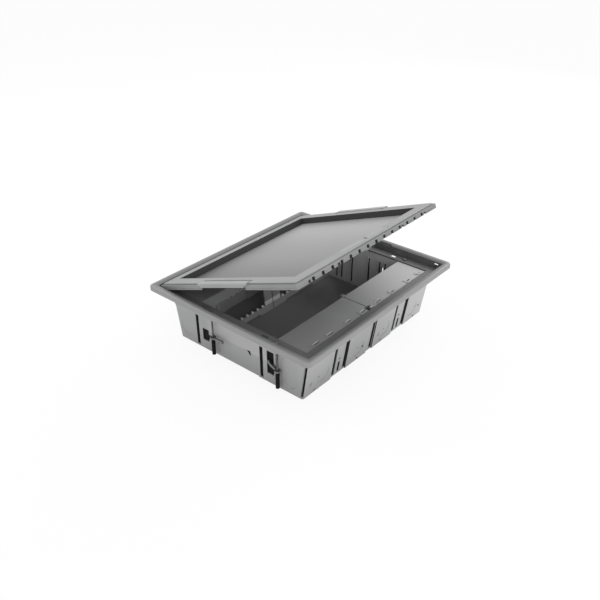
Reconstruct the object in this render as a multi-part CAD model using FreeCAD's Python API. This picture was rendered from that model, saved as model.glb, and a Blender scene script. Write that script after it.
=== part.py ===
import FreeCAD, Part

import math
import os

# Floor socket box: a tub that hangs in a cut-out of a raised floor, a rim that
# covers the edge of the cut-out, four device frames with covers inside, four
# screw-driven floor clamps, and a recessed lid on two hinge pins with a latch
# handle and two cable outlet flaps.
# Millimetres. +Z is up and +X runs along the hinge line. The origin is the
# centre of the tub's underside, and the lid's free edge is on the -Y side.

V = FreeCAD.Vector

# Rim: the visible flange on the finished floor, and the well the lid drops into
RIM_LENGTH = 331.6
RIM_WIDTH = 290.4
RIM_TOP = 84.3
RIM_UNDERSIDE = 77.3
RIM_CORNER = 7.0
RIM_EDGE_ROUND = 2.2
RIM_SKIN = 2.2
WELL_HALF_X = 155.5
WELL_HALF_Y = 135.7
WELL_CORNER = 3.0
CROWN_SETBACK = 4.6
CROWN_DROP = 1.5
GUTTER_WIDTH = 7.0
GUTTER_TOP = 72.0
GUTTER_CHAMFER = 1.8
SEAT_TOP = 74.0
SEAT_INNER_X = 137.4
SEAT_INNER_Y = 119.5
RIM_DRAIN_Y = 124.6
OUTLET_BAY_DEPTH = 2.6
CLAMP_HATCH = (142.0, 152.6, 50.0, 61.0)

# Tub: long walls lean outwards, short walls are almost upright
TUB_HEIGHT = SEAT_TOP - RIM_SKIN
TUB_WALL = 2.5
TUB_FLOOR = 2.5
TUB_HALF_X = 139.9
TUB_HALF_Y = 114.3
LEAN_X = 1.0 / 77.0
LEAN_Y = 11.8 / 77.0
TUB_CORNER = 1.8
FLOOR_HOLE_X = 110.0
FLOOR_HOLE_Y = 88.0
FLOOR_HOLE_R = 2.75
RIM_SCREW_X = 143.2
RIM_SCREW_Y = 112.0

# Relief of the long walls
CHANNEL_CENTRES = (-66.9, 74.4)
CHANNEL_WIDTH = 32.0
GROOVE_CENTRE = 3.8
GROOVE_WIDTH = 14.5
RELIEF_DEPTH = 1.6
RELIEF_TOP = 60.0
SLOT_WIDTH = 5.6
SLOT_SKIN = 1.2
OPEN_DEPTH = 8.0
BLIND_DEPTH = 3.0
SLOT_LOW = 3.0
SLOT_HIGH = 50.0
KNOCKOUT_Z = 22.0
KNOCKOUT_R = 12.6
KNOCKOUT_DEPTH = 0.4
GUSSET_X = (20.5, 51.5, 91.5, 122.5)

# Relief of the short walls, given on the wall at -X
GUIDE_SLOT_Y = (76.7, -44.0)
CLAMP_WINDOWS = ((54.9, 67.0, 34.0), (-66.2, -54.1, 50.5))
WINDOW_LOW = 14.5
STEP_Z = 33.4

# Floor clamps: screw, sliding guide and swinging arm
CLAMP_X = 145.2
CLAMP_Y = {"rear": 41.2, "front": -76.6}
CLAMP_REST = {"rear": 172.0, "front": -15.0}
CLAMP_SCREW_R = 2.2
CLAMP_HEAD_R = 3.1
CLAMP_FIT = 0.06
CLAMP_GUIDE_LOW = 3.9
CLAMP_GUIDE_HIGH = 29.4
CLAMP_ARM_LENGTH = 22.4

# Device frames lean back from the middle of the box; covers lie on top of them
FRAME_FOOT_Y = 60.0
FRAME_HEAD_Y = 69.4
FRAME_SKIN = 2.0
FRAME_TOP = 70.2
FRAME_INNER_X = 0.9
FRAME_OUTER_X = 136.6
MODULE = 22.5
MODULES = 4
WINDOW_X = 17.0
FRAME_WINDOW_LOW = 13.4
FRAME_WINDOW_HIGH = 57.6
COVER_TOP = 72.4
COVER_OUTER_Y = 118.0

# Lid, described closed and then swung open about its hinge pins
LID_OPEN = 20.5
LID_TOP = 85.5
LID_HALF_X = 149.4
LID_HINGE_Y = 129.6
LID_FREE_Y = -130.0
LID_LIP = 3.2
HINGE_LIP = 3.0
LID_CORNER = 1.6
BORDER = 18.0
HINGE_BORDER = 15.6
FRAME_PLATE = 2.6
RECESS_DEPTH = 9.6
PLATE_THICKNESS = 1.0
CARRIER_SKIN = 2.0
CARRIER_BOTTOM = 12.0
LIP_DROP = 1.9
LIP_HEIGHT = 1.5
SKIRT_HEIGHT = 8.3
HINGE_SKIRT_HEIGHT = 7.0
SEAL_X = 137.6
SEAL_Y = 119.6
SEAL_WIDTH = 1.8
SEAL_BOTTOM = 11.4
NOTCH_PITCH = 18.2
NOTCH_WIDTH = 5.2
NOTCH_CENTRE = -4.6
SKIRT_GAPS = (-130.0, -74.0, 66.0, 121.5)
STRIP_THICKNESS = 1.6
PIVOT_Y = LID_HINGE_Y - 1.5
PIVOT_Z = LID_TOP - 6.5
HINGE_X = 110.0
HINGE_PIN_R = 1.6
HINGE_EYE_R = 3.4
RUNNING_FIT = 0.06

# Latch handle and cable outlet flaps
HANDLE_HALF_X = 46.0
HANDLE_PIVOT_Y = -122.8
HANDLE_INNER_Y = -112.0
FINGER_DEPTH = 7.4
BEAD_R = 2.2
BEAD_DEPTH = 2.3
SMALL_PIN_R = 1.0
FLAP_CENTRE_Y = (LID_HINGE_Y + LID_FREE_Y) / 2
FLAP_HALF_Y = 47.5
FLAP_GAP_HALF_Y = 43.5
FLAP_PIVOT_X = 142.6
FLAP_OUTER_X = 154.4
FLAP_PROUD = 0.8


# ---------------------------------------------------------------- helpers

def block(x0, x1, y0, y1, z0, z1):
    return Part.makeBox(x1 - x0, y1 - y0, z1 - z0, V(x0, y0, z0))


def centred_block(half_x, half_y, z0, z1):
    return block(-half_x, half_x, -half_y, half_y, z0, z1)


def rounded_wire(x0, x1, y0, y1, radius, z):
    """Rectangle with round corners at height z, counter-clockwise."""
    k = radius * (1 - math.sqrt(0.5))
    spans = [
        (V(x0 + radius, y0, z), V(x1 - radius, y0, z), V(x1 - k, y0 + k, z)),
        (V(x1, y0 + radius, z), V(x1, y1 - radius, z), V(x1 - k, y1 - k, z)),
        (V(x1 - radius, y1, z), V(x0 + radius, y1, z), V(x0 + k, y1 - k, z)),
        (V(x0, y1 - radius, z), V(x0, y0 + radius, z), V(x0 + k, y0 + k, z)),
    ]
    edges = []
    for i, (start, end, corner) in enumerate(spans):
        following = spans[(i + 1) % 4][0]
        edges.append(Part.LineSegment(start, end).toShape())
        edges.append(Part.Arc(end, corner, following).toShape())
    return Part.Wire(edges)


def rounded_slab(x0, x1, y0, y1, radius, z0, z1):
    face = Part.Face(rounded_wire(x0, x1, y0, y1, radius, z0))
    return face.extrude(V(0, 0, z1 - z0))


def rounded_loft(low, high):
    """Solid between two round-cornered rectangles (half_x, half_y, radius, z)."""
    wires = [rounded_wire(-a, a, -b, b, r, z) for a, b, r, z in (low, high)]
    return Part.makeLoft(wires, True, True)


def polygon_solid(points, direction):
    face = Part.Face(Part.makePolygon(points + [points[0]]))
    return face.extrude(direction)


def prism_x(yz, x0, x1):
    return polygon_solid([V(x0, y, z) for y, z in yz], V(x1 - x0, 0, 0))


def prism_y(xz, y0, y1):
    return polygon_solid([V(x, y0, z) for x, z in xz], V(0, y1 - y0, 0))


def prism_z(xy, z0, z1):
    return polygon_solid([V(x, y, z0) for x, y in xy], V(0, 0, z1 - z0))


def rod(radius, start, end):
    return Part.makeCylinder(radius, (end - start).Length, start, end - start)


def fuse(*shapes):
    return shapes[0].multiFuse(list(shapes[1:])).removeSplitter()


def cut(shape, *tools):
    return shape.cut(list(tools)).removeSplitter()


def mirror_x(shape):
    return shape.mirror(V(0, 0, 0), V(1, 0, 0))


def mirror_y(shape):
    return shape.mirror(V(0, 0, 0), V(0, 1, 0))


def both_sides_x(shapes):
    return list(shapes) + [mirror_x(s) for s in shapes]


def both_sides_y(shapes):
    return list(shapes) + [mirror_y(s) for s in shapes]


def turned(shape, centre, axis, degrees):
    copy = shape.copy()
    copy.rotate(centre, axis, degrees)
    return copy


# -------------------------------------------------------------------- tub

def half_x(z, inset=0.0):
    return TUB_HALF_X + LEAN_X * z - inset


def half_y(z, inset=0.0):
    return TUB_HALF_Y + LEAN_Y * z - inset


def tub_body(inset, z0, z1, chamfer):
    """Four-sided body with the lean of the walls and chamfered upright edges."""
    yz = [(-half_y(z0, inset), z0), (half_y(z0, inset), z0), (half_y(z1, inset), z1), (-half_y(z1, inset), z1)]
    xz = [(-half_x(z0, inset), z0), (half_x(z0, inset), z0), (half_x(z1, inset), z1), (-half_x(z1, inset), z1)]
    body = prism_x(yz, -200.0, 200.0).common(prism_y(xz, -200.0, 200.0))
    upright = [e for e in body.Edges if e.BoundBox.ZLength > 1.0]
    return body.makeChamfer(chamfer, upright)


def leaning_strip(x0, x1, near, far, z0, z1):
    """Strip that follows the front wall, between two insets from its face."""
    yz = [(-half_y(z0, near), z0), (-half_y(z1, near), z1),
          (-half_y(z1, far), z1), (-half_y(z0, far), z0)]
    return prism_x(yz, x0, x1)


def relief_spans():
    for centre in CHANNEL_CENTRES:
        yield centre - CHANNEL_WIDTH / 2, centre + CHANNEL_WIDTH / 2
    yield GROOVE_CENTRE - GROOVE_WIDTH / 2, GROOVE_CENTRE + GROOVE_WIDTH / 2


def channel_reliefs():
    return [leaning_strip(x0, x1, -4.0, RELIEF_DEPTH, -1.0, RELIEF_TOP) for x0, x1 in relief_spans()]


def channel_backs():
    """Material behind the channels that keeps the wall at its thickness."""
    far = TUB_WALL + RELIEF_DEPTH
    return [leaning_strip(x0 - TUB_WALL, x1 + TUB_WALL, TUB_WALL - 0.5, far, TUB_FLOOR - 0.5, RELIEF_TOP + TUB_WALL)
            for x0, x1 in relief_spans()]


def guide_slot_spans():
    for centre in CHANNEL_CENTRES:
        yield centre - CHANNEL_WIDTH / 2, centre - CHANNEL_WIDTH / 2 + SLOT_WIDTH
        yield centre + CHANNEL_WIDTH / 2 - SLOT_WIDTH, centre + CHANNEL_WIDTH / 2
    yield GROOVE_CENTRE + 0.4, GROOVE_CENTRE + 0.4 + SLOT_WIDTH


def long_wall_slots(depth):
    """Guide slots and screw slots of the front wall, cut to a depth from its face."""
    slots = [leaning_strip(x0, x1, -4.0, depth, SLOT_LOW, SLOT_HIGH) for x0, x1 in guide_slot_spans()]
    for centre in CHANNEL_CENTRES:
        slots.append(leaning_strip(centre - 2.2, centre + 2.2, -4.0, depth, 4.0, 20.5))
        slots.append(rod(1.7, V(centre, -130.0, 25.8), V(centre, -half_y(25.8, depth), 25.8)))
    return slots


def thinned_slot_edges():
    """Thinner wall around the open guide slots, cut from inside."""
    near = RELIEF_DEPTH + SLOT_SKIN
    return [leaning_strip(x0 - 1.4, x1 + 1.4, near, OPEN_DEPTH, SLOT_LOW, SLOT_HIGH) for x0, x1 in guide_slot_spans()]


def knockout(centre, normal):
    """Shallow disc that marks a conduit knock-out."""
    return Part.makeCylinder(KNOCKOUT_R, 3.0, centre - normal * KNOCKOUT_DEPTH, normal)


def front_knockouts():
    angle = math.atan(LEAN_Y)
    normal = V(0, -math.cos(angle), -math.sin(angle))
    low, high = CHANNEL_CENTRES
    edges = [-TUB_HALF_X, low - CHANNEL_WIDTH / 2, low + CHANNEL_WIDTH / 2, GROOVE_CENTRE - GROOVE_WIDTH / 2,
             GROOVE_CENTRE + GROOVE_WIDTH / 2, high - CHANNEL_WIDTH / 2, high + CHANNEL_WIDTH / 2, TUB_HALF_X]
    discs = []
    for i in range(0, 8, 2):
        x = (edges[i] + edges[i + 1]) / 2 + (8.0 if i == 0 else -8.0 if i == 6 else 0.0)
        discs.append(knockout(V(x, -half_y(KNOCKOUT_Z), KNOCKOUT_Z), normal))
    return discs


def hook_marks():
    """Slanted blind recesses near the panel edges, for the locating hooks."""
    marks = []
    low, high = CHANNEL_CENTRES
    panels = ((-TUB_HALF_X + 1.5, 1), (GROOVE_CENTRE - GROOVE_WIDTH / 2, -1),
              (GROOVE_CENTRE + GROOVE_WIDTH / 2, 1), (TUB_HALF_X - 1.5, -1))
    for edge, inward in panels:
        for distance, z in ((11.5, 18.4), (21.0, 3.2)):
            x = edge + inward * distance
            y = -half_y(z)
            bar = block(x - 2.6, x + 2.6, y - 3.0, y + 1.1, z - 0.9, z + 0.9)
            marks.append(turned(bar, V(x, y, z), V(0, 1, 0), -38.0 * inward))
    return marks


def side_slot(y0, y1, z0, z1):
    return block(-half_x(z1) - 2.0, -half_x(z0, TUB_WALL + 1.0), y0, y1, z0, z1)


def side_openings():
    tools = []
    for centre in GUIDE_SLOT_Y:
        y0, y1 = centre - SLOT_WIDTH / 2, centre + SLOT_WIDTH / 2
        tools.append(side_slot(y0, y1, 2.9, 51.5))
        tools.append(block(-half_x(2.9, SLOT_SKIN), -half_x(2.9, 6.0), y0 - 1.4, y1 + 1.4, 2.9, 51.5))
    for y0, y1, top in CLAMP_WINDOWS:
        tools.append(side_slot(y0, y1, WINDOW_LOW, top))
        tools.append(side_slot(y0 - 8.0, y0 + 1.0, 20.0, 27.0))
    thin = CLAMP_WINDOWS[1][0] - 3.5
    tools.append(side_slot(thin - 4.1, thin, 21.0, 51.0))
    return tools


def side_triangle():
    """Three-cornered hole in the short wall at -X."""
    outline = [(-15.2, 34.4), (-24.6, 35.0), (-22.9, 25.7)]
    return prism_x(outline, -half_x(0) - 3.0, -half_x(0, TUB_WALL + 1.0))


def side_step():
    """Shallow recess below the step line, with its clipped corner."""
    outline = [(46.0, -1.0), (46.0, STEP_Z), (-24.0, STEP_Z), (-37.0, 26.0), (-38.0, -1.0)]
    return prism_x(outline, -half_x(0) - 3.0, -half_x(0, 1.1))


def corner_slots():
    """Upright gap where each short wall meets the front wall."""
    yz = [(-half_y(3.0, 0.6), 3.0), (-half_y(62.0, 0.6), 62.0),
          (-half_y(62.0, 4.4), 62.0), (-half_y(3.0, 4.4), 3.0)]
    slot = prism_x(yz, -half_x(0) - 3.0, -half_x(0, 8.0))
    return both_sides_x([slot])


def rim_screw_posts():
    """Posts outside the short walls that the rim is screwed to."""
    posts = []
    for x in (-RIM_SCREW_X, RIM_SCREW_X):
        for y in (-RIM_SCREW_Y, RIM_SCREW_Y):
            inner = math.copysign(half_x(58.0, 0.6), x)
            outer = x + math.copysign(2.9, x)
            posts.append(block(min(inner, outer), max(inner, outer), y - 2.6, y + 2.6, 56.0, TUB_HEIGHT))
    return posts


def gussets():
    """Ribs inside the front wall that carry the outer edge of the covers."""
    ribs = []
    for x in GUSSET_X:
        for side in (-1, 1):
            yz = [(-half_y(30.0, 1.0), 30.0), (-half_y(FRAME_TOP, 1.0), FRAME_TOP),
                  (-114.0, FRAME_TOP), (-114.0, FRAME_TOP - 3.0)]
            ribs.append(prism_x(yz, side * x - 0.8, side * x + 0.8))
    return ribs


def frame_sockets():
    """Ribs on the floor that hold the feet of the device frames."""
    ribs = []
    for x in (-118.0, -26.0, 26.0, 118.0):
        ribs.append(block(x - 7.0, x + 7.0, -66.6, -64.6, TUB_FLOOR - 0.5, TUB_FLOOR + 1.5))
    return ribs


def underside_pockets():
    """Shallow pockets that leave a grid of ribs under the floor."""
    pockets = []
    columns, rows, rib = 4, 3, 4.0
    pitch_x = 2 * (TUB_HALF_X - 8.0) / columns
    pitch_y = 2 * (TUB_HALF_Y - 8.0) / rows
    for i in range(columns):
        for j in range(rows):
            x = (i - (columns - 1) / 2) * pitch_x
            y = (j - (rows - 1) / 2) * pitch_y
            hx = (pitch_x - rib) / 2
            hy = (pitch_y - rib) / 2
            pockets.append(block(x - hx, x + hx, y - hy, y + hy, -1.0, 0.8))
    return pockets


def floor_holes():
    return [rod(FLOOR_HOLE_R, V(x, y, -1.0), V(x, y, TUB_FLOOR + 2.0))
            for x in (-FLOOR_HOLE_X, FLOOR_HOLE_X) for y in (-FLOOR_HOLE_Y, FLOOR_HOLE_Y)]


def floor_hole_pads():
    return [rod(6.5, V(x, y, 0.0), V(x, y, TUB_FLOOR))
            for x in (-FLOOR_HOLE_X, FLOOR_HOLE_X) for y in (-FLOOR_HOLE_Y, FLOOR_HOLE_Y)]


def tub():
    outside = tub_body(0.0, 0.0, TUB_HEIGHT, TUB_CORNER)
    cavity = tub_body(TUB_WALL, TUB_FLOOR, TUB_HEIGHT + 1.0, 0.6)
    shell = cut(outside, *both_sides_y(channel_reliefs()))
    shell = cut(shell, cut(cavity, *both_sides_y(channel_backs())))
    shell = fuse(shell, *rim_screw_posts(), *both_sides_y(gussets() + frame_sockets()))
    tools = long_wall_slots(OPEN_DEPTH) + thinned_slot_edges()
    tools += [mirror_y(slot) for slot in long_wall_slots(BLIND_DEPTH)]
    tools += both_sides_y(front_knockouts() + hook_marks())
    tools += both_sides_x(side_openings() + [side_step()] + side_knockouts())
    shell = cut(shell, *tools)
    shell = cut(shell, side_triangle(), *corner_slots(), *underside_pockets())
    return cut(fuse(shell, *floor_hole_pads()), *floor_holes())


def side_knockouts():
    angle = math.atan(LEAN_X)
    normal = V(-math.cos(angle), 0, -math.sin(angle))
    return [knockout(V(-half_x(KNOCKOUT_Z), y, KNOCKOUT_Z), normal) for y in (99.0, -94.5)]


# -------------------------------------------------------------------- rim

def ring(outer, inner, z0, z1, radii=None):
    """Flat ring between two half sizes, square-cornered unless both radii are given."""
    if radii:
        body = rounded_slab(-outer[0], outer[0], -outer[1], outer[1], radii[0], z0, z1)
        hole = rounded_slab(-inner[0], inner[0], -inner[1], inner[1], radii[1], z0 - 1, z1 + 1)
    else:
        body = centred_block(outer[0], outer[1], z0, z1)
        hole = centred_block(inner[0], inner[1], z0 - 1, z1 + 1)
    return body.cut(hole)


def rim_crown():
    """Convex band: round outer edge, gentle fall towards the well."""
    hx, hy = RIM_LENGTH / 2, RIM_WIDTH / 2
    body = rounded_slab(-hx, hx, -hy, hy, RIM_CORNER, RIM_UNDERSIDE, RIM_TOP)
    top_edges = [e for e in body.Edges if e.BoundBox.ZMin > RIM_TOP - 0.01]
    body = body.makeFillet(RIM_EDGE_ROUND, top_edges)
    well = rounded_slab(-WELL_HALF_X, WELL_HALF_X, -WELL_HALF_Y, WELL_HALF_Y, WELL_CORNER,
                        RIM_UNDERSIDE - 1.0, RIM_TOP + 1.0)
    fall = CROWN_SETBACK + 1.0
    rise = CROWN_DROP * fall / CROWN_SETBACK
    slope = rounded_loft((WELL_HALF_X, WELL_HALF_Y, WELL_CORNER, RIM_TOP - CROWN_DROP),
                         (WELL_HALF_X + fall, WELL_HALF_Y + fall, WELL_CORNER + 2.0, RIM_TOP - CROWN_DROP + rise))
    hollow = ring((hx - RIM_SKIN, hy - RIM_SKIN), (WELL_HALF_X + RIM_SKIN, WELL_HALF_Y + RIM_SKIN),
                  RIM_UNDERSIDE - 1.0, RIM_TOP - 3.4, (RIM_CORNER - RIM_SKIN, WELL_CORNER + RIM_SKIN))
    return cut(body, well, slope, hollow)


def rim_well():
    """Well wall, gutter, riser and the seat that lies on the tub."""
    bottom = GUTTER_TOP - RIM_SKIN
    outer_x, outer_y = WELL_HALF_X + RIM_SKIN, WELL_HALF_Y + RIM_SKIN
    outline = rounded_slab(-outer_x, outer_x, -outer_y, outer_y, WELL_CORNER + RIM_SKIN, bottom, RIM_TOP - 2.6)
    low_edges = [e for e in outline.Edges if e.BoundBox.ZMax < bottom + 0.01]
    outline = outline.makeChamfer(GUTTER_CHAMFER, low_edges)
    inside = rounded_slab(-WELL_HALF_X, WELL_HALF_X, -WELL_HALF_Y, WELL_HALF_Y, WELL_CORNER, GUTTER_TOP, RIM_TOP)
    gutter_x = WELL_HALF_X - GUTTER_WIDTH
    gutter_y = WELL_HALF_Y - GUTTER_WIDTH
    middle = centred_block(gutter_x - RIM_SKIN, gutter_y - RIM_SKIN, bottom - 1.0, GUTTER_TOP + 1.0)
    riser = ring((gutter_x, gutter_y), (gutter_x - RIM_SKIN, gutter_y - RIM_SKIN), bottom, SEAT_TOP)
    seat = ring((gutter_x, gutter_y), (SEAT_INNER_X, SEAT_INNER_Y), TUB_HEIGHT, SEAT_TOP)
    return [outline.cut([inside, middle]), riser, seat]


def hinge_ears():
    """Pairs of ears that hold the ends of each hinge pin."""
    ears = []
    for x0, x1 in ((HINGE_X - 7.0, HINGE_X - 4.0), (HINGE_X + 4.0, HINGE_X + 7.0)):
        post = block(x0, x1, PIVOT_Y - HINGE_EYE_R, PIVOT_Y + HINGE_EYE_R, TUB_HEIGHT, PIVOT_Z)
        foot = block(x0, x1, PIVOT_Y - 1.4, PIVOT_Y + HINGE_EYE_R, GUTTER_TOP - 1.0, TUB_HEIGHT + 1.0)
        ears += [post, foot, rod(HINGE_EYE_R, V(x0, PIVOT_Y, PIVOT_Z), V(x1, PIVOT_Y, PIVOT_Z))]
    return both_sides_x(ears)


def rim_openings():
    """Clamp hatches, corner drains, outlet bays, clamp screw and pin holes."""
    x0, x1, y0, y1 = CLAMP_HATCH
    tools = both_sides_y(both_sides_x([block(x0, x1, y0, y1, GUTTER_TOP - 5.0, SEAT_TOP + 1.0)]))
    drain = block(WELL_HALF_X - 0.5, WELL_HALF_X + 4.0, RIM_DRAIN_Y - 3.5, RIM_DRAIN_Y + 3.5, 76.8, 79.6)
    tools += both_sides_y(both_sides_x([drain]))
    y0, y1 = FLAP_CENTRE_Y - FLAP_GAP_HALF_Y - 0.7, FLAP_CENTRE_Y + FLAP_GAP_HALF_Y + 0.7
    bay = block(WELL_HALF_X - 0.5, WELL_HALF_X + OUTLET_BAY_DEPTH, y0, y1, RIM_TOP - 3.2, RIM_TOP + 1.0)
    tools += both_sides_x([bay])
    for x in (-CLAMP_X, CLAMP_X):
        for y in CLAMP_Y.values():
            tools.append(rod(CLAMP_SCREW_R + 0.3, V(x, y, 60.0), V(x, y, SEAT_TOP + 1.0)))
    for side in (-1, 1):
        start, end = sorted((side * (HINGE_X - 8.0), side * (HINGE_X + 8.0)))
        tools.append(rod(HINGE_PIN_R, V(start, PIVOT_Y, PIVOT_Z), V(end, PIVOT_Y, PIVOT_Z)))
    return tools


def rim():
    body = fuse(rim_crown(), *rim_well(), *hinge_ears())
    return cut(body, *rim_openings())


def hinge_pin(side):
    start = V(side * (HINGE_X - 8.0), PIVOT_Y, PIVOT_Z)
    end = V(side * (HINGE_X + 8.0), PIVOT_Y, PIVOT_Z)
    return rod(HINGE_PIN_R, start, end)


# ---------------------------------------------------------- device frames

def frame_y(z):
    """Front face of a device frame on the -Y side."""
    return -(FRAME_FOOT_Y + (FRAME_HEAD_Y - FRAME_FOOT_Y) * z / FRAME_TOP)


def frame_fascia():
    bottom = TUB_FLOOR
    yz = [(frame_y(bottom), bottom), (frame_y(FRAME_TOP), FRAME_TOP),
          (frame_y(FRAME_TOP) - FRAME_SKIN, FRAME_TOP), (frame_y(bottom) - FRAME_SKIN, bottom)]
    return prism_x(yz, FRAME_INNER_X, FRAME_OUTER_X)


def frame_returns():
    """Top flange under the cover and the two end cheeks."""
    head = frame_y(FRAME_TOP)
    flange = block(FRAME_INNER_X, FRAME_OUTER_X, head - 9.0, head - 0.5, FRAME_TOP - FRAME_SKIN, FRAME_TOP)
    cheek = [(frame_y(TUB_FLOOR) - 1.0, TUB_FLOOR), (head - 1.0, FRAME_TOP),
             (head - 9.0, FRAME_TOP), (head - 13.0, FRAME_TOP - 16.0), (-74.0, TUB_FLOOR)]
    ends = [prism_x(cheek, FRAME_INNER_X, FRAME_INNER_X + FRAME_SKIN),
            prism_x(cheek, FRAME_OUTER_X - FRAME_SKIN, FRAME_OUTER_X)]
    return [flange] + ends


def snap_hook(x, z, up):
    """Small hook on the edge of the window that a module clips over."""
    y = frame_y(z)
    yz = [(y + 0.9, z), (y + 0.9, z + up * 1.2), (y - FRAME_SKIN, z + up * 2.8), (y - FRAME_SKIN, z - up * 1.0),
          (y - 0.2, z - up * 1.0)]
    return prism_x(yz, x - 1.6, x + 1.6)


def frame_hooks():
    hooks = []
    for i in range(MODULES):
        centre = WINDOW_X + (i + 0.5) * MODULE
        for offset in (-5.6, 5.6):
            hooks.append(snap_hook(centre + offset, FRAME_WINDOW_LOW, 1))
            hooks.append(snap_hook(centre + offset, FRAME_WINDOW_HIGH, -1))
    return hooks


def frame_cutouts():
    window = block(WINDOW_X, WINDOW_X + MODULES * MODULE, -90.0, -50.0, FRAME_WINDOW_LOW, FRAME_WINDOW_HIGH)
    end_slots = [block(x, x + 2.2, -72.0, -50.0, 49.0, 56.5) for x in (111.0, 119.0)]
    square = block(126.5, 131.5, -72.0, -50.0, 59.5, 64.5)
    foot_slot = block(30.0, 94.0, -80.0, -55.0, TUB_FLOOR - 1.0, TUB_FLOOR + 2.4)
    return [window, square, foot_slot] + end_slots


def device_frame():
    body = fuse(frame_fascia(), *frame_returns())
    body = cut(body, *frame_cutouts())
    return fuse(body, *frame_hooks())


def device_cover():
    """Cover over the wiring space behind a device frame."""
    inner = frame_y(FRAME_TOP) + 0.4
    plate = block(FRAME_INNER_X, FRAME_OUTER_X, -COVER_OUTER_Y, inner, FRAME_TOP, COVER_TOP)
    nose = [e for e in plate.Edges if e.BoundBox.YMin > inner - 0.01 and e.BoundBox.ZMin > COVER_TOP - 0.01]
    plate = plate.makeChamfer(1.2, nose)
    ticks = [block(x - 1.5, x + 1.5, -COVER_OUTER_Y + 0.4, -COVER_OUTER_Y + 9.4, COVER_TOP - 0.2, COVER_TOP + 0.9)
             for x in GUSSET_X]
    stops = [block(x - 4.0, x + 4.0, inner - 12.2, inner - 10.8, FRAME_TOP - 3.0, FRAME_TOP + 0.2) for x in (30.0, 94.0)]
    latch_notch = block(0.0, 6.6, -COVER_OUTER_Y - 1.0, -109.6, FRAME_TOP - 1.0, COVER_TOP + 1.0)
    return cut(fuse(plate, *ticks, *stops), latch_notch)


# ----------------------------------------------------------- floor clamps

def clamp_screw(y):
    """Long screw under the rim's seat; its slotted head is reached from above."""
    shank = rod(CLAMP_SCREW_R, V(-CLAMP_X, y, 4.6), V(-CLAMP_X, y, SEAT_TOP + 0.4))
    head = Part.makeCylinder(CLAMP_HEAD_R, 2.0, V(-CLAMP_X, y, SEAT_TOP))
    slot = block(-CLAMP_X - 4.0, -CLAMP_X + 4.0, y - 0.5, y + 0.5, SEAT_TOP + 1.0, SEAT_TOP + 3.0)
    return cut(fuse(shank, head), slot)


def octagon(radius, x, y, z0, z1):
    """Eight-sided prism with flats at the given radius."""
    k = radius * math.tan(math.pi / 8)
    corners = [(radius, k), (k, radius), (-k, radius), (-radius, k), (-radius, -k), (-k, -radius), (k, -radius), (radius, -k)]
    return prism_z([(x + a, y + b) for a, b in corners], z0, z1)


def clamp_guide(y):
    """Moulded runner on the screw; its flat back keeps it from turning."""
    low, high = CLAMP_GUIDE_LOW, CLAMP_GUIDE_HIGH
    xy = [(-CLAMP_X + 3.9, y - 4.2), (-CLAMP_X + 3.9, y + 4.2), (-CLAMP_X - 1.6, y + 4.2),
          (-CLAMP_X - 4.0, y + 2.2), (-CLAMP_X - 4.0, y - 2.2), (-CLAMP_X - 1.6, y - 4.2)]
    body = prism_z(xy, low + 4.0, high - 3.0)
    ends = octagon(3.4, -CLAMP_X, y, low, high)
    waist = prism_y([(-CLAMP_X - 5.0, 12.0), (-CLAMP_X - 5.0, 20.0), (-CLAMP_X - 3.0, 18.0),
                     (-CLAMP_X - 3.0, 14.0)], y - 6.0, y + 6.0)
    bore = rod(CLAMP_SCREW_R + CLAMP_FIT, V(-CLAMP_X, y, 0.0), V(-CLAMP_X, y, high + 1.0))
    return cut(fuse(body, ends), waist, bore)


def clamp_arm(y):
    """Steel arm on the runner's neck: eye, rising blade and toothed tip."""
    base = CLAMP_GUIDE_HIGH + 0.1
    eye = octagon(3.9, -CLAMP_X, y, base, base + 2.4)
    tip_y = y + CLAMP_ARM_LENGTH
    blade = [(y, base), (y, base + 2.4), (tip_y - 4.0, base + 5.0), (tip_y - 3.0, base + 6.8),
             (tip_y - 1.5, base + 5.0), (tip_y, base + 6.8), (tip_y, base + 2.2), (tip_y - 8.0, base)]
    arm = prism_x(blade, -CLAMP_X - 1.3, -CLAMP_X + 1.3)
    bore = rod(CLAMP_SCREW_R + CLAMP_FIT, V(-CLAMP_X, y, base - 1.0), V(-CLAMP_X, y, base + 12.0))
    return cut(fuse(eye, arm), bore)


def clamp_parts(row, side):
    """Screw, guide and arm of one clamp; side is -1 at -X and 1 at +X."""
    y = CLAMP_Y[row]
    arm = turned(clamp_arm(y), V(-CLAMP_X, y, 0), V(0, 0, 1), CLAMP_REST[row])
    parts = [clamp_screw(y), clamp_guide(y), arm]
    return [mirror_x(p) for p in parts] if side > 0 else parts


# -------------------------------------------------------------------- lid

def lid_slab(inset, hinge_inset, depth_low, depth_high, radius=0.0):
    """Slab over the lid's outline, moved in by the insets; depths below the top."""
    x = LID_HALF_X - inset
    y0, y1 = LID_FREE_Y + inset, LID_HINGE_Y - hinge_inset
    if radius:
        return rounded_slab(-x, x, y0, y1, radius, LID_TOP - depth_low, LID_TOP - depth_high)
    return block(-x, x, y0, y1, LID_TOP - depth_low, LID_TOP - depth_high)


def lid_opened(shape):
    return turned(shape, V(0, PIVOT_Y, PIVOT_Z), V(1, 0, 0), -LID_OPEN)


def flap_zone(half_y, x0, depth_low, depth_high):
    y0, y1 = FLAP_CENTRE_Y - half_y, FLAP_CENTRE_Y + half_y
    zone = block(x0, LID_HALF_X + 6.0, y0, y1, LID_TOP - depth_low, LID_TOP - depth_high)
    return both_sides_x([zone])


def handle_zone(half_x_gap, y0, y1, depth_low, depth_high):
    return block(-half_x_gap, half_x_gap, y0, y1, LID_TOP - depth_low, LID_TOP - depth_high)


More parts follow.
